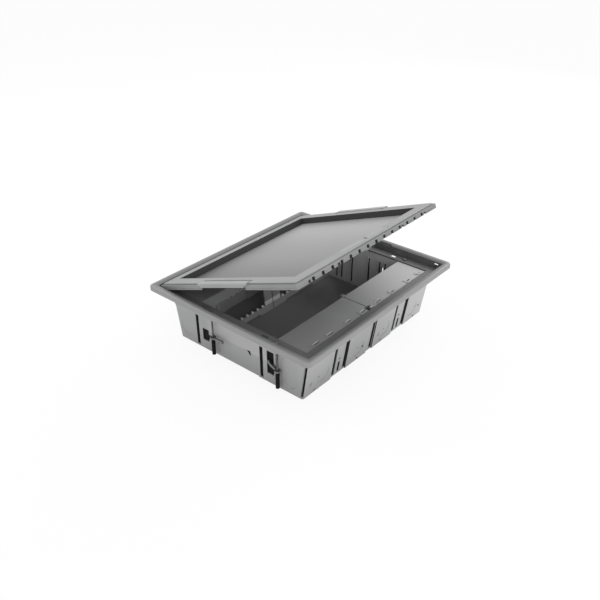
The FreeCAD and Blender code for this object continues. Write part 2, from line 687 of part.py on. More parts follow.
def flap_pin_bores(radius):
    z = LID_TOP - BEAD_DEPTH
    y0, y1 = FLAP_CENTRE_Y - 51.2, FLAP_CENTRE_Y + 51.2
    return both_sides_x([rod(radius, V(FLAP_PIVOT_X, y0, z), V(FLAP_PIVOT_X, y1, z))])


def handle_pin_bore(radius, reach):
    z = LID_TOP - BEAD_DEPTH
    return rod(radius, V(-reach, HANDLE_PIVOT_Y, z), V(reach, HANDLE_PIVOT_Y, z))


def lid_frame():
    """Visible frame: flat border and the walls of the recess."""
    plate = lid_slab(0.0, 0.0, FRAME_PLATE, 0.0, LID_CORNER)
    top_edges = [e for e in plate.Edges if e.BoundBox.ZMin > LID_TOP - 0.01]
    plate = plate.makeChamfer(0.5, top_edges)
    walls = lid_slab(BORDER - 2.0, HINGE_BORDER - 2.0, RECESS_DEPTH, FRAME_PLATE - 0.5)
    recess = lid_slab(BORDER, HINGE_BORDER, RECESS_DEPTH + 1.0, -1.0)
    body = cut(fuse(plate, walls), recess)
    tools = flap_zone(FLAP_HALF_Y + 0.3, FLAP_PIVOT_X - BEAD_R - 0.4, FRAME_PLATE + 0.5, -1.0)
    tools.append(handle_zone(HANDLE_HALF_X + 0.4, -125.4, -111.0, 3.2, -1.0))
    tools.append(handle_zone(7.0, -114.0, -110.5, 12.1, 2.0))
    tools.append(handle_zone(16.0, -117.0, -110.5, FINGER_DEPTH, 2.0))
    tools += flap_pin_bores(SMALL_PIN_R)
    tools.append(handle_pin_bore(SMALL_PIN_R, HANDLE_HALF_X + 4.2))
    return cut(body, *tools)


def carrier_shell():
    """Tray under the frame: border plate, lip, skirt, inner wall and ledge."""
    lip, hinge_lip, corner = -LID_LIP, -HINGE_LIP, LID_CORNER + 0.4
    plate = lid_slab(lip, hinge_lip, FRAME_PLATE + CARRIER_SKIN, FRAME_PLATE, corner)
    lip_ring = lid_slab(lip, hinge_lip, FRAME_PLATE + 0.5, LIP_DROP, corner)
    lip_ring = lip_ring.cut(lid_slab(-0.9, -0.9, FRAME_PLATE + 1.0, 0.0, LID_CORNER))
    skirt = lid_slab(lip, hinge_lip, SKIRT_HEIGHT, FRAME_PLATE + 1.0, corner)
    skirt = skirt.cut(lid_slab(lip + 2.0, hinge_lip + 2.0, SKIRT_HEIGHT + 1.0, FRAME_PLATE))
    trim = block(-200, 200, LID_HINGE_Y, LID_HINGE_Y + 10, LID_TOP - SKIRT_HEIGHT - 1, LID_TOP - HINGE_SKIRT_HEIGHT)
    line = lid_slab(lip, hinge_lip - 6.0, 6.6, 5.8).cut(lid_slab(lip + 0.5, hinge_lip - 7.0, 7.0, 5.0))
    skirt = skirt.cut([trim, line])
    inner = lid_slab(BORDER - 4.0, HINGE_BORDER - 4.0, CARRIER_BOTTOM, FRAME_PLATE + 0.5)
    seal_rib = seal_ring(SEAL_BOTTOM - 2.0, FRAME_PLATE + 1.0)
    body = fuse(plate, lip_ring, skirt, inner, seal_rib)
    tray = lid_slab(BORDER - 2.2, HINGE_BORDER - 2.2, RECESS_DEPTH + PLATE_THICKNESS, 0.0)
    opening = lid_slab(BORDER + 7.0, HINGE_BORDER + 7.0, CARRIER_BOTTOM + 1.0, 0.0)
    return cut(body, tray, opening)


def seal_ring(depth_low, depth_high):
    z0, z1 = LID_TOP - depth_low, LID_TOP - depth_high
    outer = centred_block(SEAL_X + SEAL_WIDTH, SEAL_Y + SEAL_WIDTH, z0, z1)
    return outer.cut(centred_block(SEAL_X, SEAL_Y, z0 - 1.0, z1 + 1.0))


def carrier_grid():
    """Flat bars under the floor plate of the lid."""
    z0, z1 = LID_TOP - CARRIER_BOTTOM, LID_TOP - RECESS_DEPTH - PLATE_THICKNESS
    bars = [block(-132.0, 132.0, y - 4.0, y + 4.0, z0, z1) for y in (-38.0, 36.0)]
    bars += [block(x - 4.0, x + 4.0, -112.0, 112.0, z0, z1) for x in (-66.0, 0.0, 66.0)]
    return bars


def hinge_knuckles():
    """Eyes of the lid that turn on the hinge pins between the rim's ears."""
    x0, x1 = HINGE_X - 3.7, HINGE_X + 3.7
    eye = rod(HINGE_EYE_R, V(x0, PIVOT_Y, PIVOT_Z), V(x1, PIVOT_Y, PIVOT_Z))
    yz = [(PIVOT_Y, PIVOT_Z - HINGE_EYE_R), (PIVOT_Y, PIVOT_Z + HINGE_EYE_R), (SEAL_Y, LID_TOP - FRAME_PLATE),
          (SEAL_Y - 3.0, LID_TOP - FRAME_PLATE), (SEAL_Y, PIVOT_Z - 2.5)]
    return both_sides_x([eye, prism_x(yz, x0, x1)])


def notch_places():
    """Centres of the notches along the free edge, none of them at a skirt gap."""
    places = [NOTCH_CENTRE + side * (k + 0.5) * NOTCH_PITCH for k in range(7) for side in (-1, 1)]
    return sorted(places)


def skirt_notches():
    """Row of open notches along the free edge, and the gaps between the strips."""
    top = LIP_DROP + LIP_HEIGHT
    y0, y1 = LID_FREE_Y - LID_LIP - 1.0, LID_FREE_Y - LID_LIP + 2.4
    half = NOTCH_WIDTH / 2
    tools = [block(x - half, x + half, y0, y1, LID_TOP - SKIRT_HEIGHT - 1.0, LID_TOP - top) for x in notch_places()]
    tools += [block(x - 2.6, x + 2.6, y0, y1, LID_TOP - SKIRT_HEIGHT - 1.0, LID_TOP - top - 1.2) for x in SKIRT_GAPS]
    return tools


def lid_edge_strip():
    """Black strips behind the notched edge, with a stud in each notch."""
    z0, z1 = LID_TOP - SKIRT_HEIGHT + 0.2, LID_TOP - FRAME_PLATE - CARRIER_SKIN
    back = LID_FREE_Y - LID_LIP + 2.0
    ends = [-LID_HALF_X + 4.0] + [x + k for x in SKIRT_GAPS for k in (-3.4, 3.4)] + [LID_HALF_X - 4.0]
    solids = []
    for x0, x1 in zip(ends[::2], ends[1::2]):
        bar = block(x0, x1, back, back + STRIP_THICKNESS, z0, z1)
        half = NOTCH_WIDTH / 2 - 0.15
        studs = [block(x - half, x + half, back - 1.2, back + 0.5, z0, z1) for x in notch_places() if x0 < x < x1]
        solids.append(fuse(bar, *studs) if studs else bar)
    return Part.makeCompound(solids)


def lid_carrier():
    body = fuse(carrier_shell(), *carrier_grid())
    ear_gap = block(HINGE_X - 8.4, HINGE_X + 8.4, PIVOT_Y - 4.2, LID_HINGE_Y + 6.0, LID_TOP - 12.0, LID_TOP - 1.0)
    body = cut(body, *both_sides_x([ear_gap]))
    body = fuse(body, *hinge_knuckles())
    tools = flap_zone(FLAP_GAP_HALF_Y, FLAP_PIVOT_X - BEAD_R - 0.4, CARRIER_BOTTOM + 1.0, 0.0)
    tools += flap_zone(FLAP_HALF_Y + 0.3, LID_HALF_X - 2.6, FRAME_PLATE, 0.0)
    tools.append(handle_zone(HANDLE_HALF_X + 0.4, -125.4, -120.0, FRAME_PLATE + CARRIER_SKIN, 0.0))
    tools.append(handle_zone(7.0, -121.1, -110.5, CARRIER_BOTTOM + 1.0, 2.0))
    tools.append(handle_zone(16.0, -117.0, -110.5, FINGER_DEPTH, 2.0))
    tools += skirt_notches() + flap_pin_bores(SMALL_PIN_R)
    tools.append(handle_pin_bore(SMALL_PIN_R, HANDLE_HALF_X + 4.2))
    for side in (-1, 1):
        start, end = sorted((side * (HINGE_X - 8.0), side * (HINGE_X + 8.0)))
        tools.append(rod(HINGE_PIN_R + RUNNING_FIT, V(start, PIVOT_Y, PIVOT_Z), V(end, PIVOT_Y, PIVOT_Z)))
    return cut(body, *tools)


def lid_plate():
    """Steel floor of the recess, held between the frame and the ledge."""
    plate = lid_slab(BORDER - 2.0, HINGE_BORDER - 2.0, RECESS_DEPTH + PLATE_THICKNESS, RECESS_DEPTH)
    return cut(plate, handle_zone(7.0, -114.0, -110.5, 12.0, 5.0))


def lid_seal():
    return seal_ring(SEAL_BOTTOM, SEAL_BOTTOM - 2.0)


def lid_handle():
    """Flush pull handle; the hook under it holds the closed lid down."""
    z = LID_TOP - BEAD_DEPTH
    bead = rod(BEAD_R, V(-HANDLE_HALF_X, HANDLE_PIVOT_Y, z), V(HANDLE_HALF_X, HANDLE_PIVOT_Y, z))
    plate = block(-HANDLE_HALF_X, HANDLE_HALF_X, HANDLE_PIVOT_Y, HANDLE_INNER_Y, LID_TOP - 2.4, LID_TOP - 0.1)
    thumb = prism_z([(-3.2, -110.0), (8.0, -110.0), (4.0, -121.4), (-2.6, -121.4)], LID_TOP - 3.0, LID_TOP + 1.0)
    hook = [(-119.1, LID_TOP - 2.4), (-116.9, LID_TOP - 2.4), (-116.9, LID_TOP - 15.6), (-119.1, LID_TOP - 15.6),
            (-121.4, LID_TOP - 14.6), (-121.4, LID_TOP - 13.9), (-119.1, LID_TOP - 13.9)]
    left_hook = prism_x(hook, -6.0, -3.4)
    right_hook = prism_x(hook, 3.4, 6.0)
    bridge = block(-6.0, 6.0, -119.1, -116.9, LID_TOP - 15.6, LID_TOP - 5.0)
    body = cut(fuse(bead, plate), thumb)
    body = fuse(body, left_hook, right_hook, bridge)
    return cut(body, handle_pin_bore(SMALL_PIN_R + RUNNING_FIT, HANDLE_HALF_X + 1.0))


def handle_pin():
    return handle_pin_bore(SMALL_PIN_R, HANDLE_HALF_X + 4.0)


def outlet_flap():
    """Cover of the cable outlet at +X: plate, hinge bead and outer lip."""
    z = LID_TOP - BEAD_DEPTH
    y0, y1 = FLAP_CENTRE_Y - FLAP_HALF_Y, FLAP_CENTRE_Y + FLAP_HALF_Y
    g0, g1 = FLAP_CENTRE_Y - FLAP_GAP_HALF_Y + 0.3, FLAP_CENTRE_Y + FLAP_GAP_HALF_Y - 0.3
    proud = block(FLAP_PIVOT_X + 2.4, FLAP_OUTER_X, y0, y1, LID_TOP - 1.0, LID_TOP + FLAP_PROUD)
    plate = fuse(block(FLAP_PIVOT_X, FLAP_OUTER_X, y0, y1, LID_TOP - 2.4, LID_TOP), proud)
    outer_edge = [e for e in plate.Edges if e.BoundBox.XMin > FLAP_OUTER_X - 0.01 and e.BoundBox.ZMin > LID_TOP + 0.01]
    plate = plate.makeChamfer(1.2, outer_edge)
    bead = rod(BEAD_R, V(FLAP_PIVOT_X, g0, z), V(FLAP_PIVOT_X, g1, z))
    lip = block(FLAP_OUTER_X - 2.0, FLAP_OUTER_X, g0, g1, LID_TOP - 4.8, LID_TOP - 2.0)
    grip = [block(FLAP_PIVOT_X + 3.0, FLAP_OUTER_X - 2.0, y - 0.6, y + 0.6, LID_TOP - 3.6, LID_TOP - 2.0)
            for y in (FLAP_CENTRE_Y - 30.0, FLAP_CENTRE_Y, FLAP_CENTRE_Y + 30.0)]
    body = fuse(plate, bead, lip, *grip)
    return cut(body, rod(SMALL_PIN_R + RUNNING_FIT, V(FLAP_PIVOT_X, y0 - 5.0, z), V(FLAP_PIVOT_X, y1 + 5.0, z)))


def outlet_pin():
    z = LID_TOP - BEAD_DEPTH
    return rod(SMALL_PIN_R, V(FLAP_PIVOT_X, FLAP_CENTRE_Y - 51.0, z), V(FLAP_PIVOT_X, FLAP_CENTRE_Y + 51.0, z))


# --------------------------------------------------------------- assembly

def fixed_parts():
    frame, cover = device_frame(), device_cover()
    return {
        "tub": tub(),
        "rim": rim(),
        "hinge_pin_left": hinge_pin(-1),
        "hinge_pin_right": hinge_pin(1),
        "device_frame_front_right": frame,
        "device_frame_front_left": mirror_x(frame),
        "device_frame_rear_right": mirror_y(frame),
        "device_frame_rear_left": mirror_x(mirror_y(frame)),
        "device_cover_front_right": cover,
        "device_cover_front_left": mirror_x(cover),
        "device_cover_rear_right": mirror_y(cover),
        "device_cover_rear_left": mirror_x(mirror_y(cover)),
    }


def clamps():
    parts = {}
    for row in CLAMP_Y:
        for side, name in ((-1, "left"), (1, "right")):
            screw, guide, arm = clamp_parts(row, side)
            parts["clamp_screw_%s_%s" % (row, name)] = screw
            parts["clamp_guide_%s_%s" % (row, name)] = guide
            parts["clamp_arm_%s_%s" % (row, name)] = arm
    return parts


def lid_parts():
    flap, pin = outlet_flap(), outlet_pin()
    closed = {
        "lid_frame": lid_frame(),
        "lid_carrier": lid_carrier(),
        "lid_plate": lid_plate(),
        "lid_seal": lid_seal(),
        "lid_edge_strip": lid_edge_strip(),
        "lid_handle": lid_handle(),
        "handle_pin": handle_pin(),
        "outlet_flap_right": flap,
        "outlet_flap_left": mirror_x(flap),
        "outlet_pin_right": pin,
        "outlet_pin_left": mirror_x(pin),
    }
    return {name: lid_opened(shape) for name, shape in closed.items()}


def write_parts(parts):
    os.makedirs("parts", exist_ok=True)
    for name, shape in parts.items():
        shape.exportStep(os.path.join("parts", name + ".step"))
        print(name, "solids", len(shape.Solids), "valid", shape.isValid(), "volume", round(shape.Volume))


write_parts({**fixed_parts(), **clamps(), **lid_parts()})
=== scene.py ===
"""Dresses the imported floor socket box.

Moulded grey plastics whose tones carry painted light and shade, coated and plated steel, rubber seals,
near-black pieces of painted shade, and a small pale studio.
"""

import math

import bmesh
import bpy
from mathutils import Matrix, Vector


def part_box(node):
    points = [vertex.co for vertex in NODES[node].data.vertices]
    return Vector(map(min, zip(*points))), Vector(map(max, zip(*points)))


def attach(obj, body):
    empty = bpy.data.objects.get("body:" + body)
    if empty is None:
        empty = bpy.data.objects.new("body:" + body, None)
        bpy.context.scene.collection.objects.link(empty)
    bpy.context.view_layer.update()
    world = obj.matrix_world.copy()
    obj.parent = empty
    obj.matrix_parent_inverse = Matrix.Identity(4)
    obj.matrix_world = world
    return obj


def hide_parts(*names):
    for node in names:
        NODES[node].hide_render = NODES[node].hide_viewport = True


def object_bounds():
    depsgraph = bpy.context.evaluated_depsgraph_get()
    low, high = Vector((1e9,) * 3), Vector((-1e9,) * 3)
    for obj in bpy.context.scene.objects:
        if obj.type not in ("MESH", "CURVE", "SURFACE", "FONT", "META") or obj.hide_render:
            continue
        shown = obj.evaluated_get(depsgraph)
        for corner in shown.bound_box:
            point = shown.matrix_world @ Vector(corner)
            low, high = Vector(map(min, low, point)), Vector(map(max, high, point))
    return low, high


bl_info = {
    "name": "Floor Socket Box",
    "version": (1, 0, 0),
    "blender": (4, 5, 0),
    "location": "View3D > Sidebar > Floor Box",
    "description": "Finishes, fine details and studio for a recessed floor socket box",
    "category": "Object",
}

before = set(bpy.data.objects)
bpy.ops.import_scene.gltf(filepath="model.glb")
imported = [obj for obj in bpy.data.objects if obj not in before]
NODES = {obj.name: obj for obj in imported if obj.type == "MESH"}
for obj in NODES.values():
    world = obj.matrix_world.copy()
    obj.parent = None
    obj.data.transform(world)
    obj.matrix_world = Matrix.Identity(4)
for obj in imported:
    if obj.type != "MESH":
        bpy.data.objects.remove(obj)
CAD_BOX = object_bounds()
LID_CENTRE = tuple((low + high) / 2 for low, high in zip(*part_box("lid_plate")))

# Lengths are in millimetres. MM turns them into metres, which Blender uses.
MM = 0.001

# tub walls: face of the end walls, half width at the foot, and growth of the half width with height
WALL_X = 138.4
FOOT_HALF_Y = 114.3
LEAN_Y = 11.8 / 77.0

# all slots: foot and head
SLOT_FOOT, SLOT_HEAD = 3.0, 51.5

# left end wall: guide slots along y, windows as (y, y, foot, head), and the corners (y, z) of the vent
GUIDE_SLOTS = (76.7, -44.0)
GUIDE_HALF = 2.8
WINDOWS = ((54.9, 67.0, 14.5, 34.0), (-66.2, -54.1, 14.5, 50.5))
VENT = ((-14.9, 34.5), (-25.0, 35.2), (-23.0, 25.2))

# front wall along x: spans of the channels' slots, middle and reach of each group of slots, and the
# lips beside the left slots; then the near-black blocks of painted shade behind the slots, as their lap,
# depths and heights
SLOT_SPANS = ((-82.9, -77.3), (-56.5, -50.9), (58.4, 64.0), (84.8, 90.4), (4.2, 9.8))
SLOT_GROUPS = ((-66.9, 17.0), (74.4, 17.0), (6.9, 4.4))
LIP_PLACES = (-76.0, 65.3)
SHADE_BLOCK_LAP = 1.2
SHADE_BLOCK_DEPTHS = (3.0, 3.7)
SHADE_BLOCK_HEIGHTS = (3.4, 49.6)

# slanted hook recesses: panel edges with the way inwards, and (distance, height) of each hook
HOOK_EDGES = ((-138.4, 1), (-3.45, -1), (11.05, 1), (138.4, -1))
HOOK_STEPS = ((11.5, 18.4), (21.0, 3.2))
HOOK_TURN = -38.0

# knock-outs of the long walls along x and of the end walls along y; height and half size of the painted shade
# in the small pit at their middle
KNOCKOUT_X = (-111.4, -27.2, 34.7, 115.1)
KNOCKOUT_Y = (99.0, -94.5)
KNOCKOUT_HEIGHT = 22.0
KNOCKOUT_SHADE_HALF = 0.8

# ribs inside the end walls along y, and the far edge of the near-black strip of painted shade beside each
END_RIBS = (-46.0, -36.0, -16.0, 16.0, 36.0, 46.0)
RIB_HALF = 0.9
RIB_FOOT, RIB_HEAD = 6.0, 62.0
RIB_SHADE_EDGE = 2.4

# rim: seat with its hatches as (x, x, y, y) and screws as (radius, height above the seat), and crown
SEAT_TOP = 74.0
HATCH = (142.0, 152.6, 50.0, 61.0)
HATCH_LAP = 0.4
RIM_SCREW_X, RIM_SCREW_Y = 143.2, 112.0
RIM_SCREW = ((0, -6.0), (1.4, -6.0), (1.5, -2.0), (2.8, -0.1), (2.7, 0.15), (1.2, 0.2), (0.9, -0.7),
             (0, -0.9))
CROWN_X, CROWN_Y = 155.5, 135.7

# device covers: their top, and their lifting tabs along the row, with half length, rise and tilt
COVER_TOP = 72.4
TABS = (-113.0, -84.6, -47.0, -14.7, 21.7, 55.0, 95.6, 122.0)
TAB_HALF, TAB_RISE, TAB_TILT = 5.2, 0.9, -2.0

# floor clamps: places, screw as (radius, height) with its thread, and ribbed sleeve
CLAMP_X = 145.2
CLAMP_Y = {"rear": 41.2, "front": -76.6}
SIDES = {"left": -1, "right": 1}
SCREW = ((0, 4.6), (0.9, 4.6), (1.15, 5.4), (1.15, 73.2), (3.0, 74.2), (3.0, 75.4), (2.6, 75.9), (1.2, 75.9),
         (1.0, 74.9), (0, 74.7))
THREAD_RADIUS, THREAD_FOOT, THREAD_HEAD, THREAD_PITCH = 1.15, 6.0, 66.0, 1.5
SLEEVE_BORE, SLEEVE_NECK, SLEEVE_RIB = 2.0, 2.35, 2.75
SLEEVE_FOOT, SLEEVE_TOP = 3.9, 29.4
SLEEVE_RIBS, SLEEVE_PITCH = 9, 2.8

# looks: how far the near-black painted shade on the slots' sides takes over, and the palest that any finish
# gets
SLOT_SHADE = 0.92
PALEST = 0.85

# studio, in metres: floor, and lamps with the setting that holds their power
FLOOR_HALF = 6.0
FLOOR_CELLS = 24
FLOOR_GAP = 0.2 * MM
LAMPS = (("side_lamp", (1.450, 0.0, 0.726), "key_power"),
         ("front_lamp", (-0.496, -1.363, 0.726), "fill_power"),
         ("rear_lamp", (-0.228, 1.291, 0.968), "rear_power"))
LAMP_SIZE = 0.9
LAMP_TARGET = (0.0, 0.0, 0.05)

# grey of the surrounding light, and width of the camera's sensor in millimetres
SURROUND_GREY = 0.85
SENSOR_WIDTH = 36.0


# ------------------------------------------------------------ shader maths

class Socket:
    """A node socket that can be used in Python expressions."""

    def __init__(self, shader, link):
        self.shader = shader
        self.link = link

    def _math(self, operation, *values):
        """The result of one Math node."""
        node = self.shader.node("ShaderNodeMath", {"operation": operation}, dict(enumerate(values)))
        return node["Value"]

    def __add__(self, other):
        return self._math("ADD", self, other)

    __radd__ = __add__

    def __sub__(self, other):
        return self._math("SUBTRACT", self, other)

    def __rsub__(self, other):
        return self._math("SUBTRACT", other, self)

    def __mul__(self, other):
        return self._math("MULTIPLY", self, other)

    __rmul__ = __mul__

    def __neg__(self):
        return self._math("SUBTRACT", 0.0, self)

    def __abs__(self):
        return self._math("ABSOLUTE", self)

    def larger(self, other):
        """The larger of two values."""
        return self._math("MAXIMUM", self, other)

    def clamped(self, low, high):
        """The value, scaled so that low gives 0 and high gives 1, and held there."""
        inputs = {"Value": self, "From Min": low, "From Max": high}
        return self.shader.node("ShaderNodeMapRange", {"interpolation_type": "SMOOTHSTEP"}, inputs)["Result"]

    def rises(self, start, end):
        """0 up to start and 1 from end on, both in millimetres."""
        return self.clamped(start * MM, end * MM)

    def falls(self, start, end):
        """1 up to start and 0 from end on, both in millimetres."""
        return 1.0 - self.rises(start, end)


class NodeOutputs:
    """The outputs of a node as Sockets, by name or number."""

    def __init__(self, shader, node):
        self.shader = shader
        self.node = node

    def __getitem__(self, name):
        return Socket(self.shader, self.node.outputs[name])


class Shader:
    """The nodes of a new material or world, built from expressions."""

    def __init__(self, owner):
        owner.use_nodes = True
        self.owner = owner
        self.tree = owner.node_tree
        self.tree.nodes.clear()

    def node(self, kind, settings=None, inputs=None):
        """Adds a node: settings first, then socket values or links."""
        node = self.tree.nodes.new(kind)
        for key, value in (settings or {}).items():
            setattr(node, key, value)
        for key, value in (inputs or {}).items():
            if isinstance(value, Socket):
                self.tree.links.new(value.link, node.inputs[key])
            else:
                node.inputs[key].default_value = value
        return NodeOutputs(self, node)

    def split(self, vector):
        """The three parts of a vector."""
        parts = self.node("ShaderNodeSeparateXYZ", {}, {"Vector": vector})
        return parts["X"], parts["Y"], parts["Z"]

    def place(self):
        """Position on the object in metres."""
        return self.node("ShaderNodeTexCoord")["Object"]

    def facing(self):
        """Direction that the surface faces."""
        return self.node("ShaderNodeTexCoord")["Normal"]

    def dot(self, first, second):
        """How far two directions agree, as a number."""
        return self.node("ShaderNodeVectorMath", {"operation": "DOT_PRODUCT"}, {0: first, 1: second})["Value"]

    def away_from(self, centre):
        """Offset from a point on the object."""
        inputs = {0: self.place(), 1: centre}
        return self.node("ShaderNodeVectorMath", {"operation": "SUBTRACT"}, inputs)["Vector"]

    def stretched(self, scale):
        """Position on the object, scaled along each axis."""
        return self.node("ShaderNodeMapping", {}, {"Vector": self.place(), "Scale": scale})["Vector"]

    def noise(self, scale, detail=3.0, rough=0.5, vector=None):
        """Soft noise from 0 to 1, over the object's own position unless a vector is given."""
        inputs = {"Vector": vector or self.place(), "Scale": scale, "Detail": detail, "Roughness": rough}
        return self.node("ShaderNodeTexNoise", {}, inputs)["Fac"]

    def worn_edges(self, reach):
        """1 on convex edges, fading to 0 on flat surfaces."""
        rounded = self.node("ShaderNodeBevel", {"samples": 4}, {"Radius": reach})["Normal"]
        true_normal = self.node("ShaderNodeNewGeometry")["Normal"]
        return (1.0 - self.dot(rounded, true_normal)).clamped(0.01, 0.30)

    def mix(self, factor, low, high):
        """A colour between two colours."""
        return self.node("ShaderNodeMix", {"data_type": "RGBA"}, {0: factor, 6: low, 7: high})[2]

    def bump(self, height, strength, distance):
        """Fine relief from a height."""
        inputs = {"Height": height, "Strength": strength, "Distance": distance}
        return self.node("ShaderNodeBump", {}, inputs)["Normal"]

    def blend(self, factor, first, second):
        """A surface or light between two others."""
        return self.node("ShaderNodeMixShader", {}, {0: factor, 1: first, 2: second})["Shader"]

    def backdrop_rays(self):
        """1 for the rays that see the backdrop: straight, mirrored or through glass."""
        path = self.node("ShaderNodeLightPath")
        return path["Is Camera Ray"].larger(path["Is Glossy Ray"]).larger(path["Is Transmission Ray"])

    def show(self, surface, output="ShaderNodeOutputMaterial"):
        """Feeds the output, and returns the material or world."""
        self.node(output, {}, {"Surface": surface})
        return self.owner

    def finish(self, **sockets):
        """Feeds one Principled shader, and returns the material."""
        inputs = {key.replace("_", " "): value for key, value in sockets.items()}
        return self.show(self.node("ShaderNodeBsdfPrincipled", {}, inputs)["BSDF"])


def grey(value, warmth=0.0):
    """Linear grey, a little warmer or cooler where warmth isn't 0."""
    return (value * (1 + warmth), value, value * (1 - warmth), 1.0)


# --------------------------------------------------------------- materials

def slot_side_shade(s):
    """1 on the sides of the tub's narrow slots and windows, 0 elsewhere: where near-black painted shade goes.
    """
    x, y, z = s.split(s.place())
    nx, ny, _ = s.split(s.facing())
    beside_slot = 0.0
    for middle, reach in SLOT_GROUPS:
        beside_slot = abs(x - middle * MM).falls(reach, reach + 0.5) + beside_slot
    long_wall = abs(y).rises(93.0, 93.5) * abs(nx).clamped(0.7, 0.9) * beside_slot
    short_wall = abs(x).rises(135.0, 136.0) * abs(ny).clamped(0.7, 0.9) * abs(y).falls(80.0, 80.5)
    return (long_wall + short_wall) * z.falls(SLOT_HEAD, SLOT_HEAD + 1.5)


def slot_lip_shade(s):
    """1 on the narrow lip beside the left slot of each channel in the front wall, which is painted near black
    as shade.
    """
    x, y, z = s.split(s.place())
    lips = 0.0
    for middle in LIP_PLACES:
        lips = abs(x - middle * MM).falls(1.3, 1.5) + lips
    return lips * (-y).rises(108.0, 108.5) * z.rises(SLOT_FOOT, SLOT_FOOT + 0.4) * z.falls(49.5, 50.0)


def high_on_wall(s):
    """Grows from 0 at the foot of the tub to 1 under the rim; the walls are made paler towards it, as painted
    light.
    """
    _, _, z = s.split(s.place())
    return z.rises(20.0, 75.0)


def low_on_wall(s):
    """Grows from 0 at middle height to 1 at the foot; the walls are made darker towards it, as painted shade.
    """
    _, _, z = s.split(s.place())
    return z.falls(0.0, 32.0)


def above_step(s):
    """1 on the outer end walls above the shallow step, where a paler band is painted light."""
    x, y, z = s.split(s.place())
    return abs(x).rises(138.5, 138.8) * z.rises(32.5, 33.5) * abs(y).falls(50.0, 60.0)


def right_end(s):
    """Grows from 0 at the middle of the box to 1 at its right end; tones are made paler towards it, as
    painted light and reflection.
    """
    x, _, _ = s.split(s.place())
    return x.rises(-20.0, 140.0)


def left_end(s):
    """Grows from 0 at the middle of the box to 1 at its left end; tones are made darker towards it, as
    painted shade.
    """
    x, _, _ = s.split(s.place())
    return x.falls(-140.0, 0.0)


def front_right(s):
    """Grows from 0 at the middle of the front wall to 1 at its right end, where the wall is made paler:
    painted light.
    """
    _, ny, _ = s.split(s.facing())
    return right_end(s) * (-ny).clamped(0.6, 0.9)


def inner_end_wall(s):
    """1 on the inner face of the tub's right end wall, which is made paler: painted light."""
    x, _, _ = s.split(s.place())
    nx, _, _ = s.split(s.facing())
    return x.rises(134.0, 135.0) * (-nx).clamped(0.5, 0.8)


def window_hooks(s):
    """1 on the small hooks that stand on the lower edge of the frames' windows, which are made much paler:
    painted highlight.
    """
    x, _, z = s.split(s.place())
    return z.rises(13.4, 13.8) * z.falls(20.0, 21.0) * abs(x).falls(107.0, 108.0)


def foot_rail(s):
    """1 on the rail under the frames' windows, which is made paler: painted light."""
    _, _, z = s.split(s.place())
    return z.falls(12.8, 13.4)


def inside_floor(s):
    """1 on the tub's inner floor, which is made darker: painted shade."""
    _, _, z = s.split(s.place())
    _, _, nz = s.split(s.facing())
    return nz.clamped(0.8, 0.95) * z.falls(6.0, 8.0)


def past_crown(s):
    """Distance outwards from the rim's crown in metres, below 0 inside it."""
    x, y, _ = s.split(s.place())
    return (abs(x) - CROWN_X * MM).larger(abs(y) - CROWN_Y * MM)


def rim_outer(s):
    """Grows from 0 at the rim's crown to 1 at its outer edge, where the rim is made paler: painted light and
    highlight.
    """
    return past_crown(s).rises(3.0, 9.5)


def rim_inner(s):
    """1 at the well's edge and on the seat, fading to 0 at the crown; the rim is made darker there: painted
    shade.
    """
    return past_crown(s).falls(-1.0, 4.0)


def recess_sides(s):
    """1 on the walls of the lid's recess, which face inwards and are made nearly black: painted shade."""
    inward = -s.dot(s.away_from(LID_CENTRE), s.facing())
    return inward.rises(60.0, 90.0)


def moulded_plastic(name, tone, roughness=0.5, grain=1.0, wear_and_highlight=0.5, fields=(), gloss=0.5):
    """Spark-eroded moulding: fine grain, faint flow clouds and paler rubbed edges, which also serve as
    painted highlights along the edges.

    Each field is a mask, the tone there as a share of the plain tone, and how far it takes over. The fields
    paint light and shade into the tone; a field near black is painted shade, and is made matt as well.
    """
    s = Shader(bpy.data.materials.new(name))
    clouds = s.noise(14.0, 2.0)
    pores = s.noise(2600.0, 2.0, 0.6)
    speckle = s.noise(900.0, 3.0, 0.7)
    edges = s.worn_edges(0.0007) * s.noise(160.0, 4.0, 0.6).clamped(0.30, 0.62)
    base = s.mix(clouds.clamped(0.3, 0.7), grey(tone * 0.93, -0.01), grey(tone * 1.05, -0.005))
    base = s.mix(speckle.clamped(0.35, 0.75) * 0.35, base, grey(tone * 1.22))
    # paler edges: rubbed wear and painted highlight together
    base = s.mix(edges * wear_and_highlight, base, grey(min(tone * 2.2 + 0.03, 0.6)))
    rough = roughness + (clouds - 0.5) * 0.10 + (pores - 0.5) * 0.12 - edges * 0.10
    for mask, factor, depth in fields:
        reach = mask(s) * depth
        base = s.mix(reach, base, grey(min(tone * factor, PALEST)))
        # a field this dark is painted shade, so it is made matt too
        painted_black_shade = factor < 0.1
        if painted_black_shade:
            rough = rough + reach * 0.5
    normal = s.bump(pores + speckle * 0.5, 0.22 * grain, 0.00006)
    return s.finish(Base_Color=base, Roughness=rough, Normal=normal, Specular_IOR_Level=gloss)


